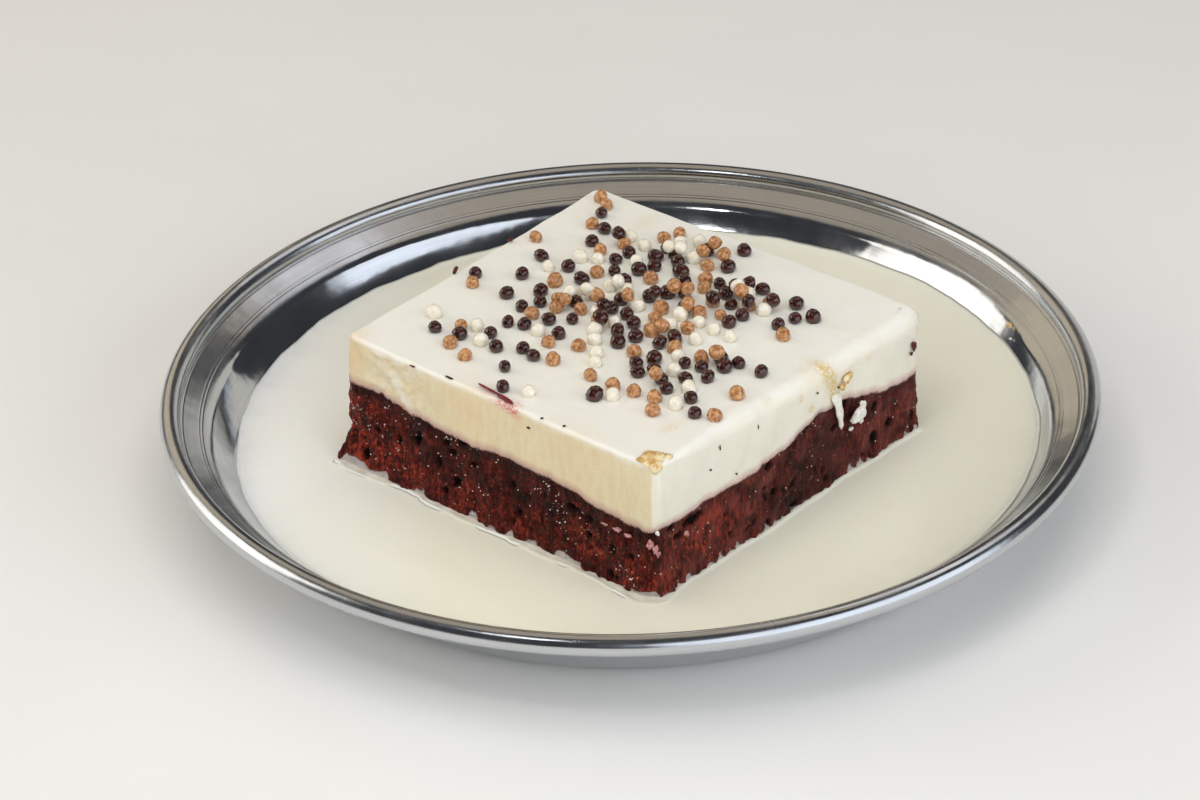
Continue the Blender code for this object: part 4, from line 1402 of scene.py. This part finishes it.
@dataclass
class MoistureBeads:
    """Tiny beads of milk on the sponge's wet cut faces, whose near-white colour is partly painted glint.

    Attributes:
        clusters: Middle in Y and Z, width, height and strength of each thick place.
        radius: The largest bead's radius.
    """

    sponge: bpy.types.Object
    count: int = 580
    radius: float = 0.21 * MM
    face: float = -45.0 * MM
    clusters: tuple = (
        (28.0, 21.0, 11.0, 5.0, 1.0), (10.0, 20.0, 12.0, 5.0, 0.8), (-24.0, 22.6, 16.0, 4.0, 0.45),
        (-46.0, 16.0, 5.0, 6.0, 0.6),
    )
    chance: Rough = Rough(1.6, 7.0, 2, 37)
    # The near-white tone is partly painted glint, standing in for light caught on the wet crumb.
    finish: Finish = field(default_factory=lambda: CrumbFlesh("Bead of milk with painted glint", 0.12, "fff0ea", "b98d84", 0.4))

    def build(self) -> bpy.types.Object:
        """Set small balls on points drawn from the sponge's wall, thickest on the -X face."""
        points, normals = read_points(self.sponge)
        draw = np.random.default_rng(31)
        level = points[:, 2] / MM
        facing_x, facing_y = ((normals[:, axis] < -0.5) & (points[:, axis] < self.face) for axis in (0, 1))
        weight = np.where(facing_x, 1.0, np.where(facing_y, 0.12, 0.0)) * (level > 11.0) * (level < 30.0)
        thick = sum(
            share * bell(points[:, 1] / MM, y, wide) * bell(level, z, tall)
            for y, z, wide, tall, share in self.clusters
        )
        weight *= np.where(facing_x, 0.16 + thick, 1.0) * np.exp(self.chance.over(points))
        chosen = draw.choice(len(points), self.count, replace=False, p=weight / weight.sum())
        ball, faces = unit_ball(1)
        radius = draw.uniform(0.4, 1.0, self.count)[:, None, None] ** 3 * self.radius
        middles = points[chosen] + normals[chosen] * 0.05 * MM
        made = (middles[:, None] + ball[None] * radius).reshape(-1, 3)
        order = repeated(faces, len(ball), self.count)
        thing = new_piece("moisture_beads", made, [order], self.finish.build())
        return thing


class PearlKind(Enum):
    """The three chocolates of the crisp pearls."""

    DARK = "dark"
    CARAMEL = "caramel"
    IVORY = "ivory"


@dataclass(frozen=True)
class Clump:
    """A heap of pearls: middle and spread in millimetres, and how many of each chocolate."""

    x: float
    y: float
    spread: float
    dark: int
    caramel: int
    ivory: int

    def kinds(self, draw: random.Random) -> list:
        """Return the heap's kinds in a shuffled order."""
        kinds = [PearlKind.DARK] * self.dark + [PearlKind.CARAMEL] * self.caramel
        kinds += [PearlKind.IVORY] * self.ivory
        draw.shuffle(kinds)
        return kinds


@dataclass
class CrispPearls:
    """Crisp pearls strewn over the cream, at the places of those fused to its solid.

    Attributes:
        radius: A pearl's mean radius, which spread varies by its share.
        sink: Height of a pearl's middle over the cream, in radii.
        clear: Distance to the next pearl, in touching distances, at which there is room.
        press: Distance at which a pearl rests on one below it, in touching distances.
        steep: Distance below which it would roll off.
        heap: Greatest lift over the cream, in radii.
        limit: Farthest place from the cake's middle.
        tries: Draws for each pearl, after flat_tries of which it may lie on others.
    """

    cake: CakeForm
    radius: float = 1.6 * MM
    spread: float = 0.09
    sink: float = 0.6
    clear: float = 1.1
    press: float = 0.84
    steep: float = 0.4
    heap: float = 2.4
    limit: float = 39.0 * MM
    tries: int = 80
    flat_tries: int = 26
    seed: int = 7
    clumps: tuple = (
        Clump(17.1, 16.1, 3.0, 4, 2, 2), Clump(6.3, 12.3, 4.2, 5, 1, 4), Clump(12.1, 6.3, 3.0, 3, 1, 1),
        Clump(20.6, 6.9, 3.4, 3, 2, 4), Clump(24.9, 0.3, 2.8, 2, 5, 1), Clump(14.8, -7.1, 2.4, 3, 2, 0),
        Clump(-13.4, 9.6, 3.8, 10, 5, 0), Clump(-9.4, 2.9, 3.2, 2, 3, 4), Clump(-3.3, -0.8, 4.0, 7, 4, 4),
        Clump(-10.3, -10.4, 4.4, 4, 4, 4), Clump(3.7, -14.6, 4.6, 5, 7, 5), Clump(14.1, -19.9, 3.2, 6, 3, 2),
        Clump(-32.1, 14.5, 2.4, 2, 3, 2), Clump(-28.8, -0.4, 4.6, 4, 2, 2), Clump(-13.7, -22.2, 3.6, 6, 2, 2),
        Clump(-10.4, -33.1, 2.6, 4, 1, 0), Clump(-24.4, -32.7, 3.4, 3, 3, 2),
    )
    strays: tuple = (
        (31.6, 35.1), (29.8, 31.8), (26.0, 30.0), (21.2, 28.3), (21.0, 24.7), (14.7, 22.8),
        (8.8, 33.8), (2.9, 26.8), (0.3, 22.5), (-5.9, 24.4), (-11.8, 32.6), (-15.4, 30.2),
        (-34.8, 22.9), (-30.3, 27.3), (-44.4, -4.9), (-42.7, -10.4), (-29.8, -15.8), (-35.5, -21.9),
        (-30.2, -22.0), (-33.2, -24.6), (21.2, -28.6), (16.1, -32.2), (18.9, -34.9), (11.7, -31.3),
        (8.8, -34.9), (-6.4, -35.6), (-6.3, -41.4), (-16.9, -43.7), (-28.7, -42.5), (-26.9, -46.3),
        (-33.2, -35.2), (-23.4, 12.7),
    )
    stray_kinds: str = "ccdcddcdiddcdidicdciddddcddcdccd"
    glazes: dict = field(default_factory=lambda: {
        PearlKind.DARK: (ChocolateGlaze("Dark chocolate glaze", 0.16, "481b13", "200b09"), 0.12),
        PearlKind.CARAMEL: (
            ChocolateGlaze("Caramel chocolate glaze", 0.28, "d6a06a", "8e5327", 0.7, 0.2), 0.16),
        PearlKind.IVORY: (ChocolateGlaze("White chocolate glaze", 0.25, "f7f2e4", "eadfc3"), 0.1),
    })

    def scatter(self) -> list:
        """Return each pearl's middle, radius and kind, by the same rule and draws as the solid's.

        A pearl is drawn near its heap's middle. It lies on the cream where no other is near, and
        once that fails often it rests on those below it, a little pressed in.
        """
        draw, colours = random.Random(self.seed), random.Random(self.seed + 1)
        letters = {kind.value[0]: kind for kind in PearlKind}
        pearls = []
        for (x, y), letter in zip(self.strays, self.stray_kinds):
            radius = self.drawn_radius(draw)
            height = float(self.cake.top(x * MM, y * MM)) + self.sink * radius
            pearls.append((x * MM, y * MM, height, radius, letters[letter]))
        for clump in self.clumps:
            for kind in clump.kinds(colours):
                radius = self.drawn_radius(draw)
                for attempt in range(self.tries):
                    x = draw.gauss(clump.x, clump.spread) * MM
                    y = draw.gauss(clump.y, clump.spread) * MM
                    height = self.resting_height(pearls, x, y, radius, attempt > self.flat_tries)
                    off = max(abs(x - self.cake.middle[0]), abs(y - self.cake.middle[1]))
                    if off < self.limit and height is not None:
                        pearls.append((x, y, height, radius, kind))
                        break
        return pearls

    def drawn_radius(self, draw: random.Random) -> float:
        """Return a radius with its share of chance."""
        return self.radius * (1.0 + self.spread * draw.uniform(-1.0, 1.0))

    def resting_height(self, pearls: list, x: float, y: float, radius: float, may_stack: bool):
        """Return the height at which a pearl rests at x, y, or None where it has no room."""
        on_cream = float(self.cake.top(x, y)) + self.sink * radius
        height, crowded = on_cream, False
        for other_x, other_y, other_height, other_radius, _ in pearls:
            apart = math.hypot(x - other_x, y - other_y)
            reach = radius + other_radius
            if apart > self.clear * reach:
                continue
            crowded = True
            if apart < self.steep * reach:
                return None
            pressed = self.press * reach
            if apart < pressed:
                height = max(height, other_height + math.sqrt(pressed ** 2 - apart ** 2))
        if not crowded:
            return on_cream
        lifted = height - on_cream
        return height if may_stack and radius < lifted < self.heap * radius else None

    def lumpy(self, pearls: list, lump: float, seed: int) -> tuple[np.ndarray, np.ndarray]:
        """Return the points and the triangles of pearls, each a little oval, turned and lumpy.

        A point is the pearl's middle plus its radius times the unit ball's point, stretched
        along three turned axes and raised by a smooth noise of its own.
        """
        ball, faces = unit_ball(2)
        draw = np.random.default_rng(seed)
        middles = np.array([pearl[:3] for pearl in pearls])
        radii = np.array([pearl[3] for pearl in pearls])[:, None, None]
        axes = np.linalg.qr(draw.normal(size=(len(pearls), 3, 3)))[0]
        stretch = 1.0 + draw.normal(scale=0.06, size=(len(pearls), 1, 3))
        shifts = draw.uniform(0.0, 50.0, size=(len(pearls), 1, 3))
        form = np.einsum("pvi,pij->pvj", ball[None] * stretch, axes)
        form = form * (1.0 + lump * rough_noise(ball[None] + shifts, 0.9, 1, seed))[..., None]
        points = middles[:, None] + form * radii
        return points.reshape(-1, 3), repeated(faces, len(ball), len(pearls))

    def build(self) -> list:
        """Build one piece for each chocolate."""
        pearls, made = self.scatter(), []
        for order, (kind, (glaze, lump)) in enumerate(self.glazes.items()):
            chosen = [pearl for pearl in pearls if pearl[4] is kind]
            points, faces = self.lumpy(chosen, lump, 101 + order)
            thing = new_piece(f"{kind.value}_pearls", points, [faces], glaze.build())
            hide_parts("cream")
            LOG.info("%s has %d pearls", thing.name, len(chosen))
            made.append(thing)
        return made


@dataclass(frozen=True)
class SoftBox:
    """A soft box: its bearing from the view's right towards the back and its height, in degrees.

    Attributes:
        size: Width and height in metres.
        power: Watts.
        seen: Whether steel and glaze mirror it.
        distance: Metres from the cake.
    """

    name: str
    bearing: float
    height: float
    size: tuple
    power: float
    colour: str = "ffffff"
    seen: bool = True
    distance: float = 1.2


@dataclass
class Studio:
    """The camera at the photograph's angle, a pale floor and soft boxes."""

    eye: tuple = (-0.5786, -0.5112, 0.4792)
    target: tuple = (-0.00429, 0.00477, 0.01665)
    roll: float = math.radians(-1.715)
    lens: float = 126.49
    aim: tuple = (0.0, 0.0, 0.02)
    boxes: tuple = (
        SoftBox("window_right", -43.0, 23.0, (2.0, 0.95), 9.0, "eef4ff"),
        SoftBox("box_left", 166.0, 24.0, (0.9, 0.9), 5.0, "fffaf2"),
        SoftBox("panel_above", 86.0, 66.0, (1.4, 1.1), 2.2, "ffecd2"),
        SoftBox("panel_left_back", 118.0, 26.0, (0.7, 0.55), 0.8, "ffedcd"),
        SoftBox("panel_low_back", 61.0, 12.0, (0.7, 0.5), 0.78, "f6f1e6"),
        SoftBox("panel_right_back", 50.0, 53.0, (0.62, 0.36), 0.52, "e4edff"),
        SoftBox("spark_near", -125.0, 58.0, (0.09, 0.09), 0.35, "ffffff", True, 0.9),
        SoftBox("fill_above", -90.0, 78.0, (1.0, 1.0), 3.5, "ffffff", False),
        SoftBox("fill_near", -95.0, 66.0, (0.4, 0.4), 0.42, "ffffff", False, 0.55),
        SoftBox("fill_camera_left", -125.0, 25.0, (0.5, 0.5), 1.2, "ffffff", False, 0.7),
        SoftBox("fill_camera_right", -50.0, 25.0, (0.5, 0.5), 0.75, "ffffff", False, 0.7),
    )
    room: tuple = (0.044, 0.047, 0.053, 1.0)
    floor_half: float = 3.0
    floor_height: float = -0.05 * MM
    finish: Finish = field(default_factory=lambda: PaintedBoard("Pale painted board", 0.7))

    def axes(self) -> tuple[Vector, Vector, Vector]:
        """Return the view's level right, its flat forward and up."""
        forward = Vector(self.target) - Vector(self.eye)
        forward.z = 0.0
        forward.normalize()
        return forward.cross(Vector((0, 0, 1))), forward, Vector((0, 0, 1))

    def camera(self) -> None:
        """Make the camera, looking from eye to target and rolled a little."""
        data = bpy.data.cameras.new("camera")
        data.lens = self.lens
        data.sensor_width = 36.0
        data.clip_start, data.clip_end = 0.02, 20.0
        thing = bpy.data.objects.new("camera", data)
        forward = (Vector(self.target) - Vector(self.eye)).normalized()
        right = forward.cross(Vector((0, 0, 1))).normalized()
        up = right.cross(forward)
        turned = right * math.cos(self.roll) + up * math.sin(self.roll)
        above = up * math.cos(self.roll) - right * math.sin(self.roll)
        columns = Matrix((turned, above, -forward)).transposed().to_4x4()
        thing.matrix_world = Matrix.Translation(self.eye) @ columns
        bpy.context.scene.collection.objects.link(thing)
        bpy.context.scene.camera = thing

    def soft_box(self, box: SoftBox) -> None:
        """Hang a soft box at its bearing and height, aimed at the cake."""
        data = bpy.data.lights.new(box.name, "AREA")
        data.shape = "RECTANGLE"
        data.size, data.size_y = box.size
        data.energy = box.power
        data.color = linear(box.colour)[:3]
        thing = bpy.data.objects.new(box.name, data)
        bearing, height = math.radians(box.bearing), math.radians(box.height)
        reach = (math.cos(height) * math.cos(bearing), math.cos(height) * math.sin(bearing), math.sin(height))
        where = sum((axis * share * box.distance for axis, share in zip(self.axes(), reach)), Vector())
        thing.location = where
        thing.rotation_euler = (Vector(self.aim) - where).to_track_quat("-Z", "Y").to_euler()
        thing.visible_glossy = box.seen
        bpy.context.scene.collection.objects.link(thing)

    def build(self) -> None:
        """Make the camera, the lights, the dim room and the floor."""
        self.camera()
        for box in self.boxes:
            self.soft_box(box)
        world = bpy.data.worlds.new("room")
        world.use_nodes = True
        world.node_tree.nodes["Background"].inputs["Color"].default_value = self.room
        bpy.context.scene.world = world
        bpy.context.scene.view_settings.view_transform = "Standard"
        self.floor()

    def floor(self) -> None:
        """Lay the pale floor, a flat sheet a little below the plate's foot."""
        corners = np.array([[-1.0, -1.0], [1.0, -1.0], [1.0, 1.0], [-1.0, 1.0]]) * self.floor_half
        sheet = level_points(corners, self.floor_height)
        thing = new_piece("floor", sheet, [np.array([[0, 1, 2, 3]])], self.finish.build(), rides=False)


def main() -> None:
    """Build every piece in order."""
    logging.basicConfig(level=logging.INFO, format="%(message)s")
    cake = CakeForm()
    plate = SteelPlate()
    made = [plate.build(), MilkPool(cake, plate).build()]
    sponge = SpongeLayer(cake).build()
    made += [sponge, MoistureBeads(sponge).build(), CreamLayer(cake).build(), CreamDrip().build()]
    made += [*LooseBits().build(), *CrispPearls(cake).build()]
    for thing in made:
        LOG.info("%s: %d faces", thing.name, len(thing.data.polygons))
    Studio().build()


if __name__ == "__main__":
    main()
